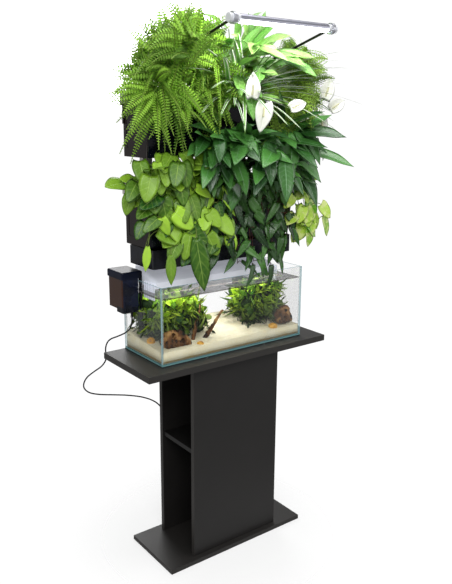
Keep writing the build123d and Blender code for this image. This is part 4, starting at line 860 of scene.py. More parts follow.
class Trees:
    """The Geometry Nodes trees that all plants share."""

    def __init__(self) -> None:
        """Build the trees."""
        self.placed = self._placed()
        self.pinnate = self._pinnate()
        self.piped = self._piped()
        self.strewn = self._strewn()

    @staticmethod
    def _placed() -> GeometryTree:
        """Blades on points that carry their own direction, size and variant."""
        tree = GeometryTree(
            "placed_blades", {"Blades": "Collection", "Size": "Float", "Finish": "Material"}
        )
        source = tree.source
        blades = tree.node(
            "GeometryNodeCollectionInfo", {}, {
                "Collection": source["Blades"], "Separate Children": True, "Reset Children": True
            }
        )
        size = tree.node(
            "ShaderNodeMath", {"operation": "MULTIPLY"},
            {0: tree.attribute("size", "FLOAT"), 1: source["Size"]}
        )
        along, facing = (tree.attribute(key, "FLOAT_VECTOR") for key in ("along", "facing"))
        placed = tree.node("GeometryNodeInstanceOnPoints", {}, {
            "Points": source["Geometry"], "Instance": blades.outputs[0], "Pick Instance": True,
            "Instance Index": tree.attribute("variant", "INT"), "Rotation": tree.towards(along, facing),
            "Scale": size.outputs[0],
        })
        tree.end(placed.outputs[0])
        return tree

    @staticmethod
    def _pinnate() -> GeometryTree:
        """Leaflets in pairs along frond ribs."""
        inputs = {"Leaflet": "Object", "Spacing": "Float", "Lean": "Float", "Finish": "Material"}
        tree = GeometryTree("pinnate_fronds", inputs)
        source = tree.source
        ribs = tree.node("GeometryNodeMeshToCurve", {}, {0: source["Geometry"]})
        points = tree.node(
            "GeometryNodeCurveToPoints", {"mode": "LENGTH"},
            {0: ribs.outputs[0], "Length": source["Spacing"]}
        )
        facing = tree.attribute("facing", "FLOAT_VECTOR")
        ahead = tree.node(
            "ShaderNodeVectorMath", {"operation": "SCALE"},
            {0: points.outputs["Tangent"], "Scale": source["Lean"]}
        )
        leaflet = tree.node("GeometryNodeObjectInfo", {}, {"Object": source["Leaflet"]})
        pairs = []
        for first, second in ((points.outputs["Tangent"], facing), (facing, points.outputs["Tangent"])):
            out = tree.node("ShaderNodeVectorMath", {"operation": "CROSS_PRODUCT"}, {0: first, 1: second})
            lean = tree.node(
                "ShaderNodeVectorMath", {"operation": "ADD"}, {0: out.outputs[0], 1: ahead.outputs[0]}
            )
            placed = tree.node("GeometryNodeInstanceOnPoints", {}, {
                "Points": points.outputs[0], "Instance": leaflet.outputs["Geometry"],
                "Rotation": tree.towards(
                    lean.outputs[0], facing
                ), "Scale": tree.attribute("reach", "FLOAT"),
            })
            pairs.append(placed.outputs[0])
        tree.end(*pairs)
        return tree

    @staticmethod
    def _piped() -> GeometryTree:
        """Round stems along lines."""
        tree = GeometryTree("piped_stems", {"Radius": "Float", "Finish": "Material"})
        lines = tree.node("GeometryNodeMeshToCurve", {}, {0: tree.source["Geometry"]})
        ring = tree.node(
            "GeometryNodeCurvePrimitiveCircle", {}, {"Resolution": 5, "Radius": tree.source["Radius"]}
        )
        pipe = tree.node(
            "GeometryNodeCurveToMesh", {}, {0: lines.outputs[0], 1: ring.outputs[0], "Fill Caps": True}
        )
        round_off = tree.node("GeometryNodeSetShadeSmooth", {}, {0: pipe.outputs[0]})
        tree.end(round_off.outputs[0])
        return tree

    @staticmethod
    def _strewn() -> GeometryTree:
        """Small pieces strewn over a surface, lying against it or standing off it."""
        inputs = {
            "Bits": "Collection", "Density": "Float", "Least": "Float", "Most": "Float", "Lift": "Float",
            "Rise": "Float", "Seed": "Int", "Finish": "Material",
        }
        tree = GeometryTree("strewn_bits", inputs)
        source = tree.source
        spread = tree.node(
            "GeometryNodeDistributePointsOnFaces", {},
            {0: source["Geometry"], "Density": source["Density"], "Seed": source["Seed"]}
        )
        bits = tree.node(
            "GeometryNodeCollectionInfo", {}, {
                "Collection": source["Bits"], "Separate Children": True, "Reset Children": True
            }
        )
        loose = tree.node(
            "FunctionNodeRandomValue", {"data_type": "FLOAT_VECTOR"},
            {0: (-1, -1, -1), 1: (1, 1, 1), "Seed": source["Seed"]}
        )
        lift = tree.node(
            "ShaderNodeVectorMath", {"operation": "SCALE"},
            {0: spread.outputs["Normal"], "Scale": source["Lift"]}
        )
        rise = tree.node("ShaderNodeCombineXYZ", {}, {"Z": source["Rise"]})
        stray = tree.node(
            "ShaderNodeVectorMath", {"operation": "ADD"}, {0: loose.outputs[0], 1: rise.outputs[0]}
        )
        along = tree.node(
            "ShaderNodeVectorMath", {"operation": "ADD"}, {0: lift.outputs[0], 1: stray.outputs[0]}
        )
        size = tree.node(
            "FunctionNodeRandomValue", {"data_type": "FLOAT"},
            {2: source["Least"], 3: source["Most"], "Seed": source["Seed"]}
        )
        tone = tree.node("FunctionNodeRandomValue", {"data_type": "FLOAT"}, {"Seed": 5})
        placed = tree.node("GeometryNodeInstanceOnPoints", {}, {
            "Points": spread.outputs[0], "Instance": bits.outputs[0], "Pick Instance": True,
            "Rotation": tree.towards(
                along.outputs[0], spread.outputs["Normal"]
            ), "Scale": size.outputs[1],
        })
        toned = tree.node("GeometryNodeStoreNamedAttribute", {"data_type": "FLOAT", "domain": "INSTANCE"}, {
            0: placed.outputs[0], "Name": "tone", "Value": tone.outputs[1],
        })
        tree.end(toned.outputs[0])
        return tree


TREES = Trees()


def fitted(mesh: bpy.types.Mesh, low: tuple, high: tuple) -> bpy.types.Mesh:
    """The mesh, moved and scaled until its box runs between two corners."""
    for i in range(3):
        values = [vertex.co[i] for vertex in mesh.vertices]
        least, most = min(values), max(values)
        for vertex, value in zip(mesh.vertices, values):
            vertex.co[i] = low[i] + (value - least) * (high[i] - low[i]) / (most - least)
    mesh.update()
    return mesh


def host_of(mesh: bpy.types.Mesh) -> bpy.types.Object:
    """A short-lived object that carries a mesh into a tree."""
    host = bpy.data.objects.new("host", mesh)
    bpy.context.scene.collection.objects.link(host)
    return host


class Bundle:
    """A short-lived collection of small shapes for a tree to place."""

    def __init__(self, meshes: list[bpy.types.Mesh]) -> None:
        """Put each mesh in an object of its own."""
        self.collection = bpy.data.collections.new("bundle")
        bpy.context.scene.collection.children.link(self.collection)
        self.objects = [bpy.data.objects.new(f"bit_{i:02d}", mesh) for i, mesh in enumerate(meshes)]
        for each in self.objects:
            self.collection.objects.link(each)

    def clear(self) -> None:
        """Take the shapes away again."""
        for each in self.objects:
            bpy.data.objects.remove(each)
        bpy.data.collections.remove(self.collection)


def line_mesh(runs: list[Run]) -> bpy.types.Mesh:
    """Open lines as a mesh of edges, with each point's facing, leaflet reach and tone."""
    points, edges, facing, reach, tone = [], [], [], [], []
    for run in runs:
        first = len(points)
        count = len(run.points)
        points += [tuple(point) for point in run.points]
        edges += [(first + i, first + i + 1) for i in range(count - 1)]
        facing += [tuple(each) for each in run.facing] or [(0.0, 0.0, 1.0)] * count
        reach += run.reach or [0.0] * count
        tone += [run.tone] * count
    mesh = bpy.data.meshes.new("lines")
    mesh.from_pydata(points, edges, [])
    store(mesh, "facing", "FLOAT_VECTOR", facing)
    store(mesh, "reach", "FLOAT", reach)
    store(mesh, "tone", "FLOAT", tone)
    return mesh


def point_mesh(sprigs: list[Sprig]) -> bpy.types.Mesh:
    """Loose points that carry each blade's direction, size, tone and variant."""
    mesh = bpy.data.meshes.new("points")
    mesh.from_pydata([tuple(sprig.at) for sprig in sprigs], [], [])
    store(mesh, "along", "FLOAT_VECTOR", [tuple(sprig.along) for sprig in sprigs])
    store(mesh, "facing", "FLOAT_VECTOR", [tuple(sprig.facing) for sprig in sprigs])
    store(mesh, "size", "FLOAT", [sprig.size for sprig in sprigs])
    store(mesh, "tone", "FLOAT", [sprig.tone for sprig in sprigs])
    store(mesh, "variant", "INT", [sprig.variant for sprig in sprigs])
    return mesh


def heading(turn: float, rise: float) -> Vector:
    """A direction from a turn in degrees (0 forwards, positive to the right) and a rise in degrees."""
    a, e = math.radians(turn), math.radians(rise)
    return Vector((math.sin(a) * math.cos(e), -math.cos(a) * math.cos(e), math.sin(e)))


def upper_side(along: Vector, hint: Vector) -> Vector:
    """The direction nearest to hint that is square to along."""
    return (hint - along * hint.dot(along)).normalized()


# ------------------------------------------------------------------ the set
@dataclass
class Studio:
    """Pale floor, soft lights and the camera."""

    camera_at: Vector = field(default_factory=lambda: Vector((-1.409, -1.9021, 1.52947)))
    turn: float = -37.12
    drop: float = 14.05
    roll: float = 0.39
    lens: float = 42.75
    floor_radius: float = 1.2

    def build(self) -> None:
        """Make the camera, then the floor, lights and surroundings."""
        self.camera()
        self.floor()
        self.lights()
        self.surroundings()

    def camera(self) -> None:
        """The camera, at eye height in front of the tank's left end."""
        data = bpy.data.cameras.new("view")
        data.lens = self.lens
        data.sensor_width = 36.0
        data.clip_end = 60.0
        camera = bpy.data.objects.new("view", data)
        look = -heading(self.turn, self.drop)
        turned = look.to_track_quat("-Z", "Y").to_matrix().to_4x4() @ Matrix.Rotation(
            math.radians(self.roll), 4, "Z"
        )
        camera.matrix_world = Matrix.Translation(self.camera_at) @ turned
        bpy.context.scene.collection.objects.link(camera)
        bpy.context.scene.camera = camera

    def floor(self) -> None:
        """A plain pale disc."""
        work = bmesh.new()
        bmesh.ops.create_circle(work, cap_ends=True, segments=96, radius=self.floor_radius)
        mesh = bpy.data.meshes.new("floor")
        work.to_mesh(mesh)
        work.free()
        graph = Graph("floor")
        x, y, _ = graph.axes()
        graph.shade(
            Base_Color=graph.mix(graph.noise(2), (0.95, 0.95, 0.95), (0.98, 0.98, 0.98)), Roughness=0.9,
            Alpha=0.35 * (1 - (x * x + y * y).band(0.08, 0.5)),
        )
        mesh.materials.append(graph.material)
        floor = bpy.data.objects.new("floor", mesh)
        bpy.context.scene.collection.objects.link(floor)

    @staticmethod
    def lights() -> None:
        """Large soft panels: key, fill, top and back."""
        aim = Vector((0, 0, 1.2))
        panels = (
            ("key", (-1.6, -2.4, 3.0), aim, (1.8, 1.8), 56.0),
            ("fill", (2.6, -1.8, 1.9), aim, (1.8, 1.8), 20.0),
            ("top", (0.3, -0.3, 3.6), aim, (1.6, 1.6), 40.0),
            ("back", (0.9, 2.6, 2.4), aim, (1.8, 1.8), 34.0),
            ("side", (-3.0, 0.2, 1.2), aim, (1.6, 1.6), 10.0),
            ("grow", (0.014, -0.285, 1.780), Vector((0.05, 0.06, 1.62)), (0.34, 0.03), 1.0),
            ("tank", (0.0, 0.03, 0.962), Vector((0, 0.0, 0.8)), (0.52, 0.12), 1.0),
        )
        for name, at, target, size, power in panels:
            data = bpy.data.lights.new(name, "AREA")
            data.shape = "RECTANGLE"
            data.size, data.size_y = size
            data.energy = power
            light = bpy.data.objects.new(name, data)
            light.visible_camera = light.visible_glossy = name not in ("grow", "tank")
            light.matrix_world = (
                Matrix.Translation(at)
                @ (target - Vector(at)).to_track_quat("-Z", "Y").to_matrix().to_4x4()
            )
            bpy.context.scene.collection.objects.link(light)

    @staticmethod
    def surroundings() -> None:
        """A white setting that lights gently."""
        scene = bpy.context.scene
        world = bpy.data.worlds.new("white")
        world.use_nodes = True
        tree = NodeTree()
        tree.tree = world.node_tree
        tree.tree.nodes.clear()
        seen = tree.node("ShaderNodeLightPath").outputs["Is Camera Ray"]
        share = tree.node("ShaderNodeMath", {"operation": "MULTIPLY_ADD"}, {0: seen, 1: 0.75, 2: 0.3})
        glow = tree.node("ShaderNodeBackground", {}, {"Color": (1, 1, 1), "Strength": share.outputs[0]})
        tree.node("ShaderNodeOutputWorld", {}, {"Surface": glow.outputs[0]})
        scene.world = world
        scene.view_settings.view_transform = "Standard"


# ------------------------------------------------------------------ mains cord
@dataclass
class MainsCord:
    """The filter's lead, from its relief round behind the column to the plug on the floor."""

    length: float = 1.385
    diameter: float = 0.005
    route: tuple = (
        (-0.322, 0.050, 0.886), (-0.322, 0.051, 0.858), (-0.331, 0.070, 0.832), (-0.347, 0.104, 0.812),
        (-0.363, 0.146, 0.792), (-0.365, 0.170, 0.754), (-0.357, 0.173, 0.716), (-0.374, 0.175, 0.690),
        (-0.406, 0.179, 0.675), (-0.436, 0.184, 0.656), (-0.446, 0.189, 0.624), (-0.424, 0.192, 0.596),
        (-0.382, 0.190, 0.580), (-0.332, 0.182, 0.570), (-0.278, 0.168, 0.560), (-0.224, 0.147, 0.546),
        (-0.180, 0.127, 0.520), (-0.159, 0.118, 0.476), (-0.158, 0.118, 0.412), (-0.155, 0.119, 0.346),
        (-0.159, 0.118, 0.280), (-0.156, 0.119, 0.214), (-0.158, 0.121, 0.150), (-0.152, 0.126, 0.090),
        (-0.142, 0.138, 0.042), (-0.124, 0.158, 0.012), (-0.092, 0.170, 0.003), (-0.048, 0.176, 0.0032),
        (0.000, 0.172, 0.003), (0.042, 0.170, 0.0046), (0.068, 0.1696, 0.007),
    )

    def build(self) -> None:
        """Lay the cord as one smooth line and dress what is on it."""
        curve = bpy.data.curves.new("mains_cord", "CURVE")
        curve.dimensions = "3D"
        curve.bevel_depth = self.diameter / 2
        curve.bevel_resolution = 4
        curve.resolution_u = 8
        curve.use_fill_caps = True
        line = curve.splines.new("NURBS")
        line.points.add(len(self.route) - 1)
        for point, place in zip(line.points, self.route):
            point.co = (*place, 1.0)
        line.order_u = 3
        line.use_endpoint_u = True
        curve.materials.append(
            Plastic("cord_sheath", tint(20, 20, 26), tint(34, 34, 42), 0.42, 900).material()
        )
        cord = bpy.data.objects.new("mains_cord", curve)
        bpy.context.scene.collection.objects.link(cord)
        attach(cord, ROOT_BODY)
        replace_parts(cord, "filter_cord")
        dress(
            Plastic("plug_rubber", tint(18, 18, 22), tint(30, 30, 36), 0.45, 500), "filter_plug",
            "cord_relief"
        )
        log.info("mains_cord laid")


# ------------------------------------------------------------------ hard sub-assemblies
@dataclass
class Stand:
    """Boards, column and fixings of the stand."""

    top: tuple[float, float] = (0.380, 0.150)
    base: tuple[float, float] = (0.295, 0.132)
    column: tuple[float, float] = (0.185, 0.110)

    def build(self) -> None:
        """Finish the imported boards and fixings."""
        dress(
            Laminate(
                "top_board_laminate", self.top, tint(40, 39, 38), tint(60, 58, 56), tint(52, 50, 48)
            ),
            "top_board"
        )
        dress(
            Laminate("laminate_base", self.base, tint(34, 33, 32), tint(52, 50, 48), tint(46, 44, 42)),
            "base_board"
        )
        dress(Laminate("laminate_panels", (self.column[0], 1.0)), "front_panel", "back_panel")
        # Painted shade: the divider and shelves inside the column get a darker copy of the same laminate.
        dark = Laminate("laminate_inner_shaded", (1.0, 1.0), tint(20, 19, 18), tint(30, 29, 28))
        dress(dark, "centre_divider", "shelf_left", "shelf_right")
        dress(
            Metal("zinc_screws", tint(170, 168, 165), 0.35, (60, 60, 60)), "panel_screws", "shelf_pins",
            "frame_bolts"
        )
        dress(Soil("foam_mat", tint(12, 12, 13), tint(34, 34, 36), 900), "tank_mat")
        log.info("stand dressed")


@dataclass
class Tank:
    """Glass, seams, water and sand."""

    inner_x: float = 0.2945
    front: float = -0.0950
    back: float = 0.1390
    glass_floor: float = 0.7565
    water_level: float = 0.9710
    sand_front: float = 0.7920
    sand_rise: float = 0.0260

    def build(self) -> None:
        """Dress the panes, then pour the sand and the water."""
        dress(Glass("glass_front_back", (True, False)), "tank_front", "tank_back")
        dress(Glass("glass_sides", (False, True), half=(0.2994, 0.1172)), "tank_left", "tank_right")
        dress(Glass("glass_floor", (True, True)), "tank_bottom")
        dress(Frosted("clear_silicone", tint(205, 225, 228), 0.22, 0.3), "silicone_seams")
        self.sand()
        self.water()

    def sand_height(self, x: float, y: float) -> float:
        """The sand's level at a place: rising to the back, heaped at both ends, rippled between."""
        share = (y - self.front) / (self.back - self.front)
        heap = 0.006 * (math.exp(-(((x + 0.2) / 0.08) ** 2)) + math.exp(-(((x - 0.22) / 0.07) ** 2)))
        ripple = (
            0.0012 * noise.noise(Vector((x * 30, y * 60, 0.3))) + 0.0007
            * noise.noise(Vector((x * 120, y * 160, 4)))
        )
        return self.sand_front + self.sand_rise * share**1.7 + heap * math.sin(math.pi * share) + ripple

    def sand(self) -> None:
        """The bed of sand as a closed solid, with grains and small stones strewn on it."""
        count_x, count_y = 150, 56
        work = bmesh.new()
        rows = []
        for j in range(count_y + 1):
            y = self.front + (self.back - self.front) * j / count_y
            xs = [-self.inner_x + 2 * self.inner_x * i / count_x for i in range(count_x + 1)]
            rows.append([work.verts.new((x, y, self.sand_height(x, y))) for x in xs])
        for low, high in zip(rows, rows[1:]):
            for i in range(count_x):
                work.faces.new((low[i], low[i + 1], high[i + 1], high[i]))
        rim = [edge for edge in work.edges if edge.is_boundary]
        skirt = bmesh.ops.extrude_edge_only(work, edges=rim)["geom"]
        lowest = [item for item in skirt if isinstance(item, bmesh.types.BMVert)]
        for vertex in lowest:
            vertex.co.z = self.glass_floor
        bmesh.ops.contextual_create(work, geom=[e for e in work.edges if e.is_boundary])
        bmesh.ops.recalc_face_normals(work, faces=work.faces)
        mesh = bpy.data.meshes.new("sand")
        work.to_mesh(mesh)
        work.free()
        made = piece_from(smooth(mesh), "sand", Sand("pale_sand"))
        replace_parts(made, "sand_bed")
        self.grains(mesh)

    @staticmethod
    def grains(sand: bpy.types.Mesh) -> None:
        """Coarse grains on the upper faces of the sand."""
        work = bmesh.new()
        work.from_mesh(sand)
        low = [face for face in work.faces if face.normal.z < 0.5]
        bmesh.ops.delete(work, geom=low, context="FACES")
        mesh = bpy.data.meshes.new("sand_top")
        work.to_mesh(mesh)
        work.free()
        bits = Bundle([pebble_bit(seed) for seed in (1, 2, 3)])
        host = host_of(mesh)
        made = TREES.strewn.run(
            host, Bits=bits.collection, Density=9000.0, Least=0.0006, Most=0.0021, Lift=0.0, Seed=3,
            Finish=Stone("grain_stone").material(),
        )
        bpy.data.objects.remove(host)
        bits.clear()
        piece_from(smooth(made), "sand_grains")

    def water(self) -> None:
        """The water as a closed body from the sand's top up to the waterline."""
        count_x, count_y = 60, 24
        inset = 0.0007
        work = bmesh.new()
        layers = []
        for level in ("low", "high"):
            rows = []
            for j in range(count_y + 1):
                y = self.front + inset + (self.back - self.front - 2 * inset) * j / count_y
                row = []
                for i in range(count_x + 1):
                    x = (-self.inner_x + inset) + 2 * (self.inner_x - inset) * i / count_x
                    ruffle = 0.0006 * noise.noise(Vector((x * 40, y * 40, 2)))
                    row.append(work.verts.new((
                        x, y,
                        self.sand_height(x, y) + 0.001 if level == "low" else self.water_level + ruffle,
                    )))
                rows.append(row)
            layers.append(rows)
        for rows in layers:
            for low, high in zip(rows, rows[1:]):
                for i in range(count_x):
                    work.faces.new((low[i], low[i + 1], high[i + 1], high[i]))
        floor, top = layers
        rings = [self._ring(rows) for rows in (floor, top)]
        for k in range(len(rings[0])):
            n = (k + 1) % len(rings[0])
            work.faces.new((rings[0][k], rings[0][n], rings[1][n], rings[1][k]))
        bmesh.ops.recalc_face_normals(work, faces=work.faces)
        mesh = bpy.data.meshes.new("water")
        work.to_mesh(mesh)
        work.free()
        piece_from(smooth(mesh), "water", Water("still_water"))

    @staticmethod
    def _ring(rows: list) -> list:
        """The border vertices of a grid, in order round it."""
        return rows[0] + [row[-1] for row in rows[1:-1]] + rows[-1][::-1] + [
            row[0] for row in rows[-2:0:-1]
        ]


def pebble_bit(seed: int) -> bpy.types.Mesh:
    """A tiny stone of a few dozen faces, a unit across."""
    work = bmesh.new()
    bmesh.ops.create_icosphere(work, subdivisions=1, radius=0.5)
    for vertex in work.verts:
        vertex.co *= 1 + 0.35 * noise.noise(vertex.co * 2 + Vector((seed * 3.1, 0, 0)))
        vertex.co.z *= 0.75
    mesh = bpy.data.meshes.new("stone_bit")
    work.to_mesh(mesh)
    work.free()
    return mesh


@dataclass
class TankDecor:
    """Driftwood, pebbles and water plants."""

    def build(self) -> None:
        """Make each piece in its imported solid's place."""
        bark = Bark("bored_driftwood")
        for node, depth in (("driftwood_left", 0.0032), ("driftwood_right", 0.0028)):
            mesh = roughened(node, 0.0024, depth, 85.0, 0.0006)
            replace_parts(piece_from(mesh, f"{node}_wood", bark), node)
        stones = roughened("pebbles", 0.0016, 0.0008, 60.0, 0.0002)
        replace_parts(piece_from(stones, "pebble_stones", Stone("ochre_pebble")), "pebbles")
        self.plants()

    @staticmethod
    def plants() -> None:
        """Two thickets: a mossy core painted near black as shade inside the thicket, broad leaves over it
        and fine strands between them.
        """
        broad = [
            Blade(0.72, 0.48, 0, 0.35, 0.2, 0.03, 5, 4), Blade(0.55, 0.45, 0, 0.5, 0.1, 0.05, 5, 4),
            Blade(0.85, 0.5, 0, 0.2, 0.25, 0.02, 5, 4)
        ]
        fine = [Blade(0.12, 0.5, 0, 0.5, 0.1, 0.03, 4, 2), Blade(0.1, 0.5, 0, -0.3, 0.1, 0.06, 4, 2)]
        leaf = Leaf(
            "water_leaf", tint(36, 112, 6), tint(206, 255, 50), tint(206, 246, 90), 5, 0.42, shine=0.1,
            unlit=(0.812, 0.925)
        )
        strand = Leaf(
            "water_strand", tint(76, 128, 14), tint(196, 230, 60), tint(196, 226, 80), 1, 0.5,
            unlit=(0.806, 0.90)
        )
        # Painted shade: the core's near-black greens stand in for the shade deep inside the thicket, over
        # the moss's own dark green.
        shaded_moss = Soil("moss_core_painted_shade", tint(10, 20, 3), tint(34, 60, 8), 240)
        for node, seed, low, high in (
            ("water_plants_left", 11, (-0.278, -0.014, 0.802), (-0.046, 0.124, 0.950)),
            ("water_plants_right", 23, (0.112, -0.022, 0.802), (0.282, 0.084, 0.950)),
        ):
            core = piece_from(
                fitted(roughened(node, 0.005, 0.020, 17.0), low, high), f"{node}_core",
                shaded_moss
            )
            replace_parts(core, node)
            for label, blades, finish, density, least, most, lift, rise in (
                ("leaves", broad, leaf, 3200.0, 0.010, 0.050, 0.8, 0.3),
                ("strands", fine, strand, 4400.0, 0.020, 0.080, 0.6, -0.5),
            ):
                bits = Bundle([blade.mesh(f"{label}_{i}") for i, blade in enumerate(blades)])
                host = host_of(core.data.copy())
                made = TREES.strewn.run(
                    host, Bits=bits.collection, Density=density, Least=least, Most=most,
                    Lift=lift, Rise=rise, Seed=seed, Finish=finish.material(),
                )
                bpy.data.objects.remove(host)
                bits.clear()
                piece_from(smooth(made), f"{node}_{label}")


@dataclass
class WallFrame:
    """Hood, posts, rails, planters, tray, pump and riser over the tank."""

    def build(self) -> None:
        """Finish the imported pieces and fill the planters."""
        # Painted light: the drip hood's plastic glows with an emission of 0.26, though it holds no lamp.
        dress(Frosted("drip_hood_plastic", tint(240, 244, 255), 0.93, 0.28, 0.26), "drip_hood")
        dress(Timber("grey_posts"), "post_left", "post_right")
        dress(Timber("grey_rails", (1.2, 22, 22)), "rail_upper", "rail_lower")
        # Painted reflection: the planters' left ends are tinted dark brown.
        dress(
            Splashed("planter_gloss", rough=0.12, reflection_tint=tint(36, 24, 20)), "planter_upper", "planter_lower"
        )
        dress(Plastic("tray_gloss", rough=0.2), "collector_tray", "cord_clip")
        dress(
            Metal("folded_steel", tint(120, 120, 122), 0.4, (80, 80, 80)), "post_brackets", "arm_brackets"
        )
        dress(Frosted("riser_vinyl", tint(228, 232, 232), 0.4, 0.12), "riser_tube")
        dress(Plastic("pump_case", tint(12, 12, 14), tint(26, 26, 30), 0.35, 500), "pump_body")
        dress(
            Plastic("impeller_plastic", tint(60, 62, 70), tint(84, 86, 94), 0.4, 500), "pump_impeller",
            "filter_impeller"
        )
        mix = piece_from(
            roughened("substrate", 0.006, 0.0012, 90.0, 0.0008), "growing_mix",
            Soil("growing_mix")
        )
        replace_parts(mix, "substrate")


@dataclass
class HangOnFilter:
    """The filter on the left pane."""

    def build(self) -> None:
        """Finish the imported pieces."""
        # Painted reflection: the filter's left end is tinted brown.
        dress(
            Splashed("filter_gloss", tint(10, 12, 20), tint(26, 34, 58), 0.1, reflection_tint_x=-0.3585),
            "filter_housing"
        )
        dress(
            Plastic("filter_lid_gloss", tint(10, 11, 18), tint(24, 30, 50), 0.26, mirror=0.16),
            "filter_lid"
        )
        dress(Plastic("filter_motor_case", tint(10, 11, 16), tint(22, 26, 40), 0.22), "filter_motor")
        dress(Plastic("intake_smoke", tint(10, 11, 14), tint(24, 26, 32), 0.15), "filter_intake")
        dress(Soil("prefilter_foam", tint(8, 8, 9), tint(30, 30, 34), 520), "filter_sponge")
        log.info("filter dressed")


@dataclass
class TubeLight:
    """The light and the arms that hold it."""

    def build(self) -> None:
        """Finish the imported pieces."""
        dress(Metal("tube_aluminium", tint(186, 186, 200), 0.28, (2, 260, 260)), "light_tube")
        dress(Lamp("lit_window"), "light_diffuser")
        dress(Frosted("end_caps", tint(238, 240, 244), 0.72, 0.2), "light_ends")
        dress(
            Metal("arm_tube_metal", tint(58, 56, 56), 0.35, (60, 6, 60), -0.281), "light_arm_left",
            "light_arm_right"
        )
        log.info("light dressed")


# ------------------------------------------------------------------ plants
@dataclass(frozen=True)
class Wall:
    """Where the planted wall's pieces and its light's path are."""

    upper_mix: float = 1.555
    lower_mix: float = 1.270
    upper_rim: float = 1.573
    lower_rim: float = 1.288
    face_y: float = -0.035
    depth_back: float = 0.130
    ends: tuple[float, float] = (-0.294, 0.314)
    height: float = 0.177
    arms: tuple[float, float] = (-0.178, 0.198)
    arm_room: float = 0.021
    pivot: tuple[float, float] = (0.134, 1.680)
    lamp: tuple[float, float] = (-0.300, 1.797)
    lamp_ends: tuple[float, float] = (-0.235, 0.255)
    lamp_room: float = 0.035
    edge_room: float = 0.004

    def clear(self, p: Vector) -> bool:
        """Whether a point is free of the light's path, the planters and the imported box's outside."""
        return not (self.in_light(p) or self.in_planter(p) or self.outside(p))

    def in_light(self, p: Vector) -> bool:
        """Whether a point is where the arms or the lamp pass."""
        run_y, run_z = self.pivot[0] - p.y, p.z - self.pivot[1]
        slope = (self.lamp[1] - self.pivot[1]) / (self.pivot[0] - self.lamp[0])
        above = run_z > slope * run_y - 0.022
        in_arm = any(abs(p.x - arm) < self.arm_room for arm in self.arms) and above
        reach = math.hypot(self.pivot[0] - self.lamp[0], self.lamp[1] - self.pivot[1])
        near_lamp = math.hypot(run_y, run_z) > reach - self.lamp_room and above
        return in_arm or (near_lamp and self.lamp_ends[0] < p.x < self.lamp_ends[1])

    def in_planter(self, p: Vector) -> bool:
        """Whether a point is inside a planter below its rim."""
        if not (self.ends[0] < p.x < self.ends[1] and self.face_y - 0.004 < p.y < self.depth_back + 0.03):
            return False
        return any(rim - self.height < p.z < rim - 0.02 for rim in (self.upper_rim, self.lower_rim))

    def outside(self, p: Vector) -> bool:
        """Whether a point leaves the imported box, or comes nearer to its sides than the edge room."""
        low, high = CAD_BOX
        room = self.edge_room
        return any(p[i] < low[i] + room or p[i] > high[i] - room for i in range(3))


WALL = Wall()


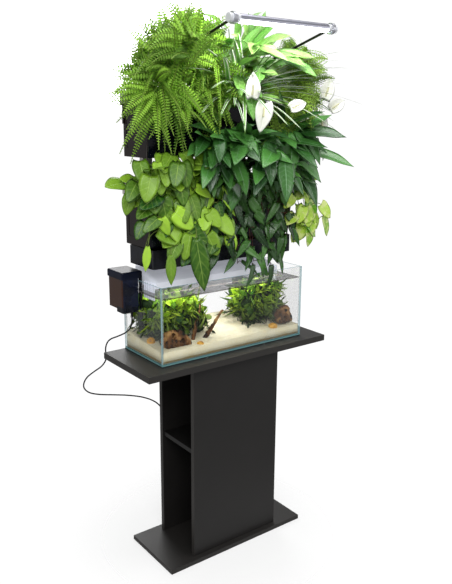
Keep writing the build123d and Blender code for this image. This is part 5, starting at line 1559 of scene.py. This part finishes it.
class Plant:
    """One plant: it gathers stems, fronds and blades by its habit, then builds them as pieces."""

    def __init__(self, node: str, slot: str, seed: int) -> None:
        """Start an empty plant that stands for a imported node."""
        self.node = node
        self.slot = slot
        self.rng = random.Random(seed)
        self.stems: list[Run] = []
        self.sprigs: list[Sprig] = []
        self.fronds: list[Run] = []
        self.arch = 0.25

    def between(self, low: float, high: float) -> float:
        """A seeded number between two values."""
        return self.rng.uniform(low, high)

    def blade(
        self, at: Vector, along: Vector, hint: Vector, size: float, tone: float, variant: int
    ) -> bool:
        """Add one blade if its foot, middle and tip are in free room.

        Args:
            at: its foot.
            along: the way it runs.
            hint: the way its upper side should face.
            size: its length.
            tone: 0 for dark to 1 for light.
            variant: which of the plant's blade shapes.

        Returns:
            Whether it was added.
        """
        along = along.normalized()
        facing = upper_side(along, hint)
        run = (
            at + along * size * t - facing * size * self.arch * t * t for t in (0, 0.3, 0.55, 0.8, 1.0)
        )
        if not all(WALL.clear(point) for point in run):
            return False
        self.sprigs.append(Sprig(at, along, facing, size, tone, variant))
        return True

    def stalk(self, start: Vector, end: Vector, belly: Vector) -> bool:
        """Add a stalk that bows towards belly between two points, where it has room."""
        points = []
        for i in range(7):
            t = i / 6
            points.append(start.lerp(end, t) + belly * (4 * t * (1 - t)))
        if not all(WALL.clear(point) for point in points[2:]):
            return False
        self.stems.append(Run(points))
        return True

    def rosette(
        self, crown: Vector, count: int, turn: tuple, rise: tuple, stalk: tuple, size: tuple,
        droop: float, variants: int
    ) -> None:
        """Leaves on stalks that fan out from one crown.

        Args:
            crown: where the stalks start.
            count: how many leaves to try.
            turn, rise: the stalks' ranges of direction, in degrees.
            stalk, size: the ranges of their length and of the blades'.
            droop: how far blades hang from their stalk's line, in degrees.
            variants: how many blade shapes there are.
        """
        for _ in range(count):
            a, e = self.between(*turn), self.between(*rise)
            out = heading(a, e)
            foot = crown + Vector((self.between(-0.02, 0.02), self.between(-0.02, 0.02), 0))
            end = foot + out * self.between(*stalk)
            along = heading(a + self.between(-40, 40), e - droop * self.between(0.3, 1.4))
            tone = self.between(0.1, 0.9)
            if self.blade(
                end, along, Vector((-0.2, -0.8, 0.9)), self.between(*size), tone,
                self.rng.randrange(variants)
            ):
                if not self.stalk(foot, end, Vector((0, 0, 0.02))):
                    self.sprigs.pop()

    def vine(
        self, path: list[Vector], spacing: float, size: tuple, petiole: tuple, turn: tuple, variants: int
    ) -> None:
        """A stem with leaves on alternate sides that hang and face outwards.

        Args:
            path: the stem's guide points.
            spacing: the distance between leaves.
            size, petiole: the ranges of the blades' and the leaf stalks' length.
            turn: the range of the way the blades face, in degrees.
            variants: how many blade shapes there are.
        """
        points = smooth_path(path, 6)
        self.stems.append(Run(points))
        travelled, side = 0.0, 1
        for before, here in zip(points, points[1:]):
            travelled += (here - before).length
            if travelled < spacing:
                continue
            travelled = 0.0
            side = -side
            facing = heading(self.between(*turn), self.between(-5, 60))
            out = (facing + Vector((side * 0.8, 0, self.between(-0.2, 0.4)))).normalized()
            end = here + out * self.between(*petiole)
            along = Vector((side * self.between(0.0, 0.9), -0.2, self.between(-1.0, -0.35)))
            if self.blade(
                end, along, facing, self.between(*size), self.between(0, 1), self.rng.randrange(variants)
            ):
                self.stalk(here, end, Vector((0, 0, 0.006)))

    def frond(self, start: Vector, out: Vector, side: Vector, length: float, sag: float) -> Run | None:
        """An arching frond rib, cut short where the room ends.

        Args:
            start: where it starts.
            out: its first direction.
            side: the way its leaflets reach, one to each hand.
            length: its length.
            sag: how far it bends down, as a share of its length.

        Returns:
            The rib, or None where there is too little room.
        """
        count = 14
        points = []
        for i in range(count + 1):
            t = i / count
            point = start + out * length * t + Vector((0, 0, -sag * length * t**2.2))
            if i > 2 and not WALL.clear(point):
                break
            points.append(point)
        if len(points) < 7:
            return None
        facing = []
        for i in range(len(points)):
            tangent = points[min(i + 1, len(points) - 1)] - points[max(i - 1, 0)]
            facing.append(side.cross(tangent).normalized())
        return Run(points, facing)

    def bush(
        self, centre: tuple, spread: tuple, count: int, turn: tuple, rise: tuple, length: tuple,
        sag: tuple
    ) -> None:
        """Fronds that lie over a rounded mass with their flat side outwards, with painted shade: pale
        outside and dark within.

        Args:
            centre, spread: the mass's middle and half sizes.
            count: how many fronds to try.
            turn, rise: the ranges of direction, in degrees.
            length, sag: the ranges of the fronds' length and droop.
        """
        middle, half = Vector(centre), Vector(spread)
        for _ in range(count):
            a, e = self.between(*turn), self.between(*rise)
            skin, depth = heading(a, e), self.between(0.3, 1.0)
            start = middle + half * skin * depth
            falls = e < 15 and self.rng.random() < 0.4
            sweep = math.radians(self.rng.gauss(180 if falls else 0, 62))
            face = heading(a, min(e, 30))
            up = upper_side(face, Vector((0, 0, 1)))
            out = (
                up * math.cos(sweep) + up.cross(face) * math.sin(sweep) + skin * self.between(0.15, 0.8)
            ).normalized()
            side = (out.cross(face).normalized() + face * self.between(-0.5, 0.5)).normalized()
            if not WALL.clear(start):
                continue
            rib = self.frond(start, out, side, self.between(*length), self.between(*sag))
            if rib:
                # Painted shade: fronds that start deeper in the mass get a darker tone, outer ones a paler
                # one, plus a random share.
                rib.tone = 0.5 * (depth - 0.3) / 0.7 + self.between(0, 0.5)
                if self.rng.random() < 0.3:
                    self.stalk(
                        Vector((middle.x, 0.02, WALL.upper_mix + 0.01)), start, Vector((0, -0.01, 0.01))
                    )
                self.fronds.append(rib)

    def build_stems(self, finish: Finish, radius: float) -> None:
        """Make every stem and rib as one piece of round stems."""
        host = host_of(line_mesh(self.stems + self.fronds))
        mesh = TREES.piped.run(host, Radius=radius, Finish=finish.material())
        bpy.data.objects.remove(host)
        piece_from(mesh, f"{self.node}_stems")

    def build_blades(self, label: str, blades: list[Blade], finish: Finish) -> None:
        """Place this plant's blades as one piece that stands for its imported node."""
        bits = Bundle([blade.mesh(f"{label}_{i}") for i, blade in enumerate(blades)])
        host = host_of(point_mesh(self.sprigs))
        mesh = TREES.placed.run(host, Blades=bits.collection, Size=1.0, Finish=finish.material())
        bpy.data.objects.remove(host)
        bits.clear()
        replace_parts(piece_from(smooth(mesh), f"{self.node}_{label}"), self.node)

    def build_leaflets(
        self, ribs: list[Run], leaflet: Blade, spacing: float, lean: float, finish: Finish
    ) -> None:
        """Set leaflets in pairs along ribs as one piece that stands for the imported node."""
        bits = Bundle([leaflet.mesh("leaflet")])
        host = host_of(line_mesh(ribs))
        mesh = TREES.pinnate.run(
            host, Leaflet=bits.objects[0], Spacing=spacing, Lean=lean, Finish=finish.material()
        )
        bpy.data.objects.remove(host)
        bits.clear()
        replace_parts(piece_from(smooth(mesh), f"{self.node}_leaflets"), self.node)


def smooth_path(guide: list[Vector], steps: int) -> list[Vector]:
    """Points on a smooth line through guide points."""
    ends = [guide[0] * 2 - guide[1], *guide, guide[-1] * 2 - guide[-2]]
    points = []
    for a, b, c, d in zip(ends, ends[1:], ends[2:], ends[3:]):
        for i in range(steps):
            t = i / steps
            points.append(0.5 * (
                (2 * b) + (c - a) * t + (2 * a - 5 * b + 4 * c - d) * t * t
                + (3 * b - a - 3 * c + d) * t**3
            ))
    return points + [guide[-1]]


class Fern(Enum):
    """The two ferns: a sword fern with plain leaflets, and a lacy one that branches twice."""

    SWORD = "fern_left"
    LACY = "fern_right"


@dataclass
class Ferns:
    """Both ferns of the upper planter."""

    def build(self) -> None:
        """Grow both."""
        self.sword()
        self.lacy()

    def sword(self) -> None:
        """A full mass of fronds, upright in the middle and drooping over the planter's front and end."""
        plant = Plant(Fern.SWORD.value, "fern_leaf", 5)
        plant.bush(
            (-0.245, -0.06, 1.650), (0.055, 0.07, 0.105), 96, (-125, 50), (-25, 85), (0.10, 0.16),
            (0.1, 0.5)
        )
        plant.bush(
            (-0.110, -0.03, 1.690), (0.055, 0.07, 0.120), 84, (-85, 60), (-25, 88), (0.10, 0.16),
            (0.1, 0.5)
        )
        plant.bush(
            (-0.235, -0.14, 1.700), (0.045, 0.06, 0.080), 56, (-110, 50), (-20, 85), (0.09, 0.14),
            (0.1, 0.5)
        )
        plant.bush(
            (-0.215, -0.07, 1.580), (0.105, 0.04, 0.050), 34, (-95, 50), (-50, 35), (0.09, 0.17),
            (0.1, 0.6)
        )
        plant.bush(
            (-0.165, -0.01, 1.625), (0.150, 0.09, 0.060), 70, (-120, 50), (-20, 70), (0.10, 0.15),
            (0.1, 0.5)
        )
        plant.bush(
            (-0.270, 0.03, 1.650), (0.030, 0.06, 0.060), 30, (-140, -30), (-10, 75), (0.08, 0.12),
            (0.1, 0.4)
        )
        plant.bush(
            (-0.130, -0.03, 1.748), (0.030, 0.04, 0.050), 26, (-90, 40), (35, 88), (0.08, 0.13),
            (0.0, 0.15)
        )
        plant.bush(
            (-0.060, -0.05, 1.590), (0.040, 0.03, 0.060), 34, (-70, 60), (-50, 50), (0.08, 0.14),
            (0.1, 0.5)
        )
        for turn, rise, length in (
            (-96, 4, 0.17), (-84, 12, 0.18), (-104, -6, 0.15), (-70, -14, 0.16), (-62, -30, 0.17),
            (-30, -48, 0.18)
        ):
            out = heading(turn, rise)
            across = out.cross(heading(turn + 50, 40)).normalized()
            rib = plant.frond(Vector((-0.285, -0.07, 1.615)), out, across, length, 0.22)
            if rib:
                rib.tone = 0.8
                plant.fronds.append(rib)
        for rib in plant.fronds:
            last = len(rib.points) - 1
            full = plant.between(0.021, 0.029)
            rib.reach = [full * self.taper(i / last) for i in range(last + 1)]
        leaf = Leaf(
            "sword_fern_leaf", tint(22, 92, 8), tint(192, 255, 80), tint(206, 250, 130), 1, 0.45,
            shine=0.05
        )
        plant.build_leaflets(
            plant.fronds, Blade(0.42, 0.3, 0, 0.22, 0.1, 0.03, 3, 2, 0.7), 0.0087, 0.25, leaf
        )
        plant.build_stems(Stalk("fern_rib", tint(80, 120, 24), tint(160, 190, 80)), 0.0012)

    @staticmethod
    def taper(t: float) -> float:
        """A leaflet's share of the full length along a sword fern's frond."""
        return max((1 - t**2.2) ** 0.8, 0.14) * (0.4 + 0.6 * min(1.0, t / 0.25))

    def lacy(self) -> None:
        """Shorter, softer fronds whose side ribs carry the small leaflets."""
        plant = Plant(Fern.LACY.value, "fern_leaf", 8)
        plant.bush(
            (0.285, -0.04, 1.655), (0.055, 0.07, 0.090), 50, (-70, 110), (-25, 85), (0.10, 0.15),
            (0.2, 0.6)
        )
        plant.bush(
            (0.150, 0.01, 1.645), (0.045, 0.05, 0.080), 24, (-60, 60), (-20, 85), (0.09, 0.14), (0.2, 0.6)
        )
        plant.bush(
            (0.250, -0.06, 1.580), (0.080, 0.03, 0.040), 26, (-50, 80), (-45, 20), (0.10, 0.15),
            (0.3, 0.7)
        )
        ribs = [side for rib in plant.fronds for side in self.side_ribs(rib)]
        leaf = Leaf(
            "lacy_fern_leaf", tint(40, 112, 12), tint(210, 255, 104), tint(214, 250, 140), 1, 0.45,
            shine=0.05
        )
        plant.build_leaflets(ribs, Blade(0.60, 0.5, 0, 0.1, 0.1, 0.0, 2, 2, 0.8), 0.0094, 0.35, leaf)
        plant.build_stems(Stalk("fern_rib"), 0.0007)

    @staticmethod
    def side_ribs(rib: Run) -> list[Run]:
        """Side ribs in pairs, shorter towards the tip."""
        made = []
        count = len(rib.points)
        for i in range(1, count - 1):
            tangent = (rib.points[i + 1] - rib.points[i - 1]).normalized()
            t = i / (count - 1)
            for hand in (-1, 1):
                out = (tangent.cross(rib.facing[i]) * hand + tangent * 0.6).normalized()
                length = 0.052 * (1 - t) ** 0.6
                points = [
                    rib.points[i] + out * length * k / 4 + Vector((0, 0, -0.12 * length * (k / 4) ** 2))
                    for k in range(5)
                ]
                if all(WALL.clear(point) for point in points):
                    reach = [0.0160 * (1 - 0.5 * k / 4) * (1 - 0.35 * t) for k in range(5)]
                    made.append(Run(points, [rib.facing[i]] * 5, reach, rib.tone))
        return made


@dataclass
class Lilies:
    """The peace lilies of both planters, with their white hoods."""

    def build(self) -> None:
        """Grow the upper one, its flowers and the lower one."""
        blades = [
            Blade(0.36, 0.42, 0, 0.22, 0.16, 0.012, 12, 6), Blade(0.42, 0.45, 0, 0.32, 0.1, 0.016, 12, 6),
            Blade(0.32, 0.4, 0, 0.12, 0.22, 0.01, 12, 6)
        ]
        upper = Plant("peace_lily_top", "lily_leaf", 21)
        crown = Vector((0.06, 0.01, WALL.upper_mix + 0.01))
        upper.rosette(crown, 58, (-60, 70), (45, 84), (0.10, 0.25), (0.10, 0.15), 50, 3)
        upper.rosette(crown, 26, (-70, 70), (15, 50), (0.08, 0.15), (0.09, 0.13), 55, 3)
        upper.rosette(
            Vector((0.14, 0.04, WALL.upper_mix + 0.01)), 18, (-20, 60), (70, 86), (0.15, 0.22),
            (0.10, 0.13), 20, 3
        )
        # Painted light: the upper lily's leaves are the lit, paler copy of the lily leaf.
        leaf = Leaf(
            "lily_leaf_lit", tint(50, 140, 34), tint(190, 236, 130), tint(214, 242, 176), 11, 0.3,
            shine=0.4
        )
        upper.build_blades("leaves", blades, leaf)
        self.flowers(upper)
        upper.build_stems(Stalk("lily_stalk", tint(60, 110, 30), tint(130, 170, 70)), 0.0016)
        lower = Plant("peace_lily_lower", "lily_leaf", 34)
        base = Vector((0.19, -0.02, WALL.lower_rim))
        lower.rosette(base, 24, (-60, 85), (30, 72), (0.12, 0.27), (0.11, 0.185), 75, 3)
        lower.rosette(base, 22, (-50, 70), (55, 74), (0.17, 0.24), (0.12, 0.17), 90, 3)
        lower.rosette(
            Vector((0.03, -0.02, WALL.lower_rim)), 26, (-70, 40), (50, 72), (0.13, 0.24), (0.11, 0.18),
            85, 3
        )
        lower.rosette(
            Vector((-0.09, -0.02, WALL.lower_rim)), 22, (-60, 40), (55, 78), (0.13, 0.23), (0.11, 0.16),
            85, 3
        )
        # Painted shade: the lower lily's leaves are a darker copy of the same lily leaf, as if in the upper
        # planter's shade.
        dark = Leaf(
            "lily_leaf_shaded", tint(16, 60, 22), tint(92, 158, 70), tint(120, 176, 120), 11, 0.25,
            shine=0.5
        )
        lower.build_blades("leaves", blades, dark)
        lower.build_stems(Stalk("lily_stalk", tint(60, 110, 30), tint(130, 170, 70)), 0.0017)

    @staticmethod
    def flowers(plant: Plant) -> None:
        """White hoods on thin stalks, each with its spadix."""
        places = (
            ((0.05, 0.00), (-0.020, -0.190, 1.590), (0.02, -0.1, 1.0), 0.078),
            ((0.05, 0.00), (0.020, -0.205, 1.575), (-0.35, -0.2, -1.0), 0.092),
            ((0.15, 0.01), (0.130, -0.200, 1.560), (0.8, -0.2, 0.3), 0.066),
            ((0.24, 0.01), (0.330, -0.150, 1.595), (0.35, 0.0, 0.9), 0.080),
            ((0.24, 0.01), (0.390, -0.120, 1.560), (0.9, -0.1, 0.5), 0.078),
            ((0.24, 0.01), (0.300, -0.160, 1.540), (0.3, -0.1, -1.0), 0.070),
        )
        hoods = Plant("peace_lily_top", "lily_leaf", 3)
        for (x, y), foot, along, size in places:
            at = Vector(foot)
            hoods.blade(at, Vector(along), Vector((-0.5, -1.0, 0.35)), size, 0.5, 0)
            plant.stalk(Vector((x, y, WALL.upper_mix + 0.01)), at, Vector((0, -0.02, 0.03)))
        bits = Bundle([Blade(0.62, 0.42, 0.12, 0.1, 0.55, 0.02, 12, 8, 0.85).mesh("hood")])
        host = host_of(point_mesh(hoods.sprigs))
        finish = Leaf("spathe", tint(236, 238, 224), tint(255, 255, 250), tint(214, 226, 190), 5, 0.45)
        mesh = TREES.placed.run(host, Blades=bits.collection, Size=1.0, Finish=finish.material())
        bpy.data.objects.remove(host)
        bits.clear()
        piece_from(smooth(mesh), "lily_spathes")
        spikes = [
            Run([
                s.at + s.facing * 0.004 + s.along * s.size * k / 8 + s.facing * 0.0015 * k
                for k in range(1, 5)
            ])
            for s in hoods.sprigs
        ]
        host = host_of(line_mesh(spikes))
        mesh = TREES.piped.run(
            host, Radius=0.0028,
            Finish=Stalk("spadix", tint(205, 205, 150), tint(240, 235, 200)).material()
        )
        bpy.data.objects.remove(host)
        piece_from(mesh, "lily_spadices")


@dataclass
class SpiderPlant:
    """Long arching striped leaves at the front of the upper planter."""

    def build(self) -> None:
        """Grow it."""
        plant = Plant("spider_plant", "spider_leaf", 13)
        plant.arch = 0.95
        for x, turn, count in ((0.06, (-60, 95), 46), (0.02, (-75, 40), 14), (0.08, (25, 90), 30)):
            for _ in range(count):
                a = plant.between(*turn)
                foot = Vector((
                    x + plant.between(-0.02, 0.02), -0.03 + plant.between(-0.008, 0.008),
                    WALL.upper_mix + 0.025,
                ))
                plant.blade(
                    foot, heading(a, plant.between(24, 70)), Vector((0, 0, 1)), plant.between(0.17, 0.31),
                    plant.between(0, 1), plant.rng.randrange(3)
                )
        blades = [
            Blade(0.068, 0.35, 0, 0.75, 0.35, 0.0, 14, 4, 0.5), Blade(
                0.060, 0.35, 0, 0.95, 0.3, 0.004, 14, 4, 0.5
            ),
            Blade(0.074, 0.4, 0, 0.55, 0.4, 0.0, 14, 4, 0.5),
        ]
        leaf = Leaf(
            "striped_leaf", tint(64, 136, 40), tint(128, 190, 76), tint(190, 222, 150), 0.0, 0.35,
            tint(250, 252, 240), 0.42
        )
        plant.build_blades("leaves", blades, leaf)


@dataclass
class Climbers:
    """The trailing plants of the lower planter."""

    heart: tuple = (
        Blade(0.72, 0.42, 0.10, 0.14, 0.05, 0.012, 9, 6, 0.72), Blade(
            0.68, 0.42, 0.09, 0.28, 0.12, 0.016, 9, 6, 0.75
        ),
        Blade(0.76, 0.40, 0.12, 0.06, 0.10, 0.02, 9, 6, 0.72),
    )
    lance: tuple = (
        Blade(0.36, 0.38, 0.04, 0.25, 0.2, 0.02, 9, 4, 1.1),
        Blade(0.42, 0.4, 0.05, 0.4, 0.12, 0.03, 9, 4, 1.0),
        Blade(0.3, 0.4, 0.03, 0.1, 0.28, 0.02, 9, 4, 1.2)
    )

    def build(self) -> None:
        """Grow all three."""
        self.philodendron()
        self.trailer()
        self.pothos()

    @staticmethod
    def fall(plant: Plant, x: float, drift: float, low: float, proud: float) -> list[Vector]:
        """A vine's guide points: out of the pocket, over the rim and down the planter's face."""
        return [
            Vector((x, 0.02, WALL.lower_mix)),
            Vector((x + drift * 0.1, -0.02, WALL.lower_rim + plant.between(0.02, 0.06))),
            Vector((x + drift * 0.25, -0.058 - proud * 0.5, WALL.lower_rim + 0.005)),
            Vector((x + drift * 0.6, -0.062 - proud, (WALL.lower_rim + low) / 2)),
            Vector((x + drift, -0.066 - proud, low)),
        ]

    def philodendron(self) -> None:
        """Bright heart-shaped leaves that climb over the left half and hang before the hood."""
        plant = Plant("philodendron", "vine_leaf", 41)
        for x, drift, low, proud in (
            (
                -0.27, -0.07, 1.14, 0.010
            ), (-0.27, -0.01, 1.17, 0.02), (-0.24, 0.0, 1.13, 0.02), (-0.21, 0.0, 1.12, 0.012),
            (-0.18, 0.01, 1.15, 0.02), (-0.15, 0.02, 1.12, 0.015), (-0.12, 0.03, 1.14, 0.02), (
                -0.10, 0.06, 1.12, 0.015
            ),
        ):
            plant.vine(
                self.fall(plant, x, drift, low, proud), 0.027, (0.058, 0.090), (0.025, 0.05), (-55, 12), 3
            )
        for x in (-0.26, -0.21, -0.16, -0.11):
            crown = Vector((x, 0.015, WALL.lower_mix + 0.01))
            plant.rosette(crown, 15, (-60, 25), (24, 76), (0.07, 0.20), (0.058, 0.090), 75, 3)
        plant.rosette(
            Vector((-0.27, 0.01, WALL.lower_mix + 0.01)), 9, (-90, -50), (15, 55), (0.06, 0.10),
            (0.055, 0.085), 75, 3
        )
        leaf = Leaf(
            "heart_leaf", tint(18, 82, 12), tint(188, 242, 72), tint(192, 232, 110), 5, 0.36, shine=0.2
        )
        self.long_leaves(plant)
        plant.build_blades(
            "leaves", [*self.heart, Blade(0.34, 0.5, 0.05, 0.12, 0.14, 0.012, 12, 6)], leaf
        )
        plant.build_stems(Stalk("vine_stem", tint(70, 96, 28), tint(140, 160, 70)), 0.0014)

    @staticmethod
    def long_leaves(plant: Plant) -> None:
        """The few long leaves that hang in front of the hood and the glass."""
        for at, along, size, tone in (
            ((-0.185, -0.128, 1.165), (0.16, -0.06, -1.0), 0.186, 0.10),
            ((-0.275, -0.120, 1.120), (-0.02, -0.05, -1.0), 0.100, 0.35),
            ((-0.345, -0.100, 1.150), (-0.15, -0.05, -1.0), 0.080, 0.95),
        ):
            plant.sprigs.append(Sprig(
                Vector(at), Vector(along).normalized(),
                upper_side(Vector(along).normalized(), Vector((-0.5, -1, 0.2))), size, tone, 3,
            ))
            plant.stalk(Vector((at[0] + 0.02, -0.07, at[2] + 0.05)), Vector(at), Vector((0, -0.01, 0.01)))

    def trailer(self) -> None:
        """Dark narrow leaves over the middle and right, hanging to the tank's rim."""
        plant = Plant("trailing_plant", "dark_leaf", 52)
        for x, drift, low, proud in (
            (-0.05, -0.01, 1.10, 0.01), (
                -0.02, 0.02, 1.07, 0.025
            ), (0.01, 0.01, 1.05, 0.012), (0.04, 0.03, 1.04, 0.03),
            (0.07, 0.02, 1.05, 0.012), (0.10, 0.05, 1.04, 0.028), (
                0.13, 0.05, 1.07, 0.015
            ), (0.17, 0.04, 1.09, 0.03), (0.21, 0.03, 1.12, 0.015),
        ):
            plant.vine(
                self.fall(plant, x, drift, low, proud), 0.024, (0.062, 0.102), (0.012, 0.035), (-60, 25),
                3
            )
        for x in (-0.03, 0.03, 0.09, 0.15, 0.21):
            plant.rosette(
                Vector((x, 0.005, WALL.lower_mix + 0.01)), 16, (-60, 50), (20, 78), (0.07, 0.19),
                (0.07, 0.105), 60, 3
            )
        leaf = Leaf(
            "narrow_leaf", tint(12, 46, 14), tint(84, 140, 58), tint(96, 150, 80), 8, 0.3, shine=0.4
        )
        plant.build_blades("leaves", list(self.lance), leaf)
        plant.build_stems(Stalk("dark_stem", tint(40, 22, 16), tint(110, 50, 34)), 0.0012)

    def pothos(self) -> None:
        """Cream and green leaves at the right end."""
        plant = Plant("variegated_pothos", "pothos_leaf", 67)
        for x, drift, low, proud in (
            (0.27, 0.06, 1.14, 0.01), (0.285, 0.09, 1.17, 0.03), (0.295, 0.05, 1.12, 0.02),
            (0.25, 0.05, 1.16, 0.02)
        ):
            plant.vine(
                self.fall(plant, x, drift, low, proud), 0.030, (0.055, 0.085), (0.015, 0.04), (-50, 40), 3
            )
        plant.rosette(
            Vector((0.28, 0.02, WALL.lower_mix + 0.01)), 9, (-20, 80), (20, 60), (0.05, 0.10),
            (0.055, 0.08), 60, 3
        )
        leaf = Leaf(
            "cream_green_leaf", tint(96, 176, 40), tint(208, 244, 84), tint(222, 244, 130), 5, 0.36,
            tint(246, 252, 172), splash=0.6, shine=0.25
        )
        plant.build_blades("leaves", list(self.heart), leaf)
        plant.build_stems(Stalk("vine_stem", tint(70, 96, 28), tint(140, 160, 70)), 0.0013)


def main() -> None:
    """Build everything in order."""
    logging.basicConfig(level=logging.INFO, format="%(name)s: %(message)s")
    for part in (
        Studio(), MainsCord(), Stand(), Tank(), TankDecor(), WallFrame(), HangOnFilter(), TubeLight(),
        Ferns(), Lilies(), SpiderPlant(), Climbers()
    ):
        part.build()


if __name__ == "__main__":
    main()
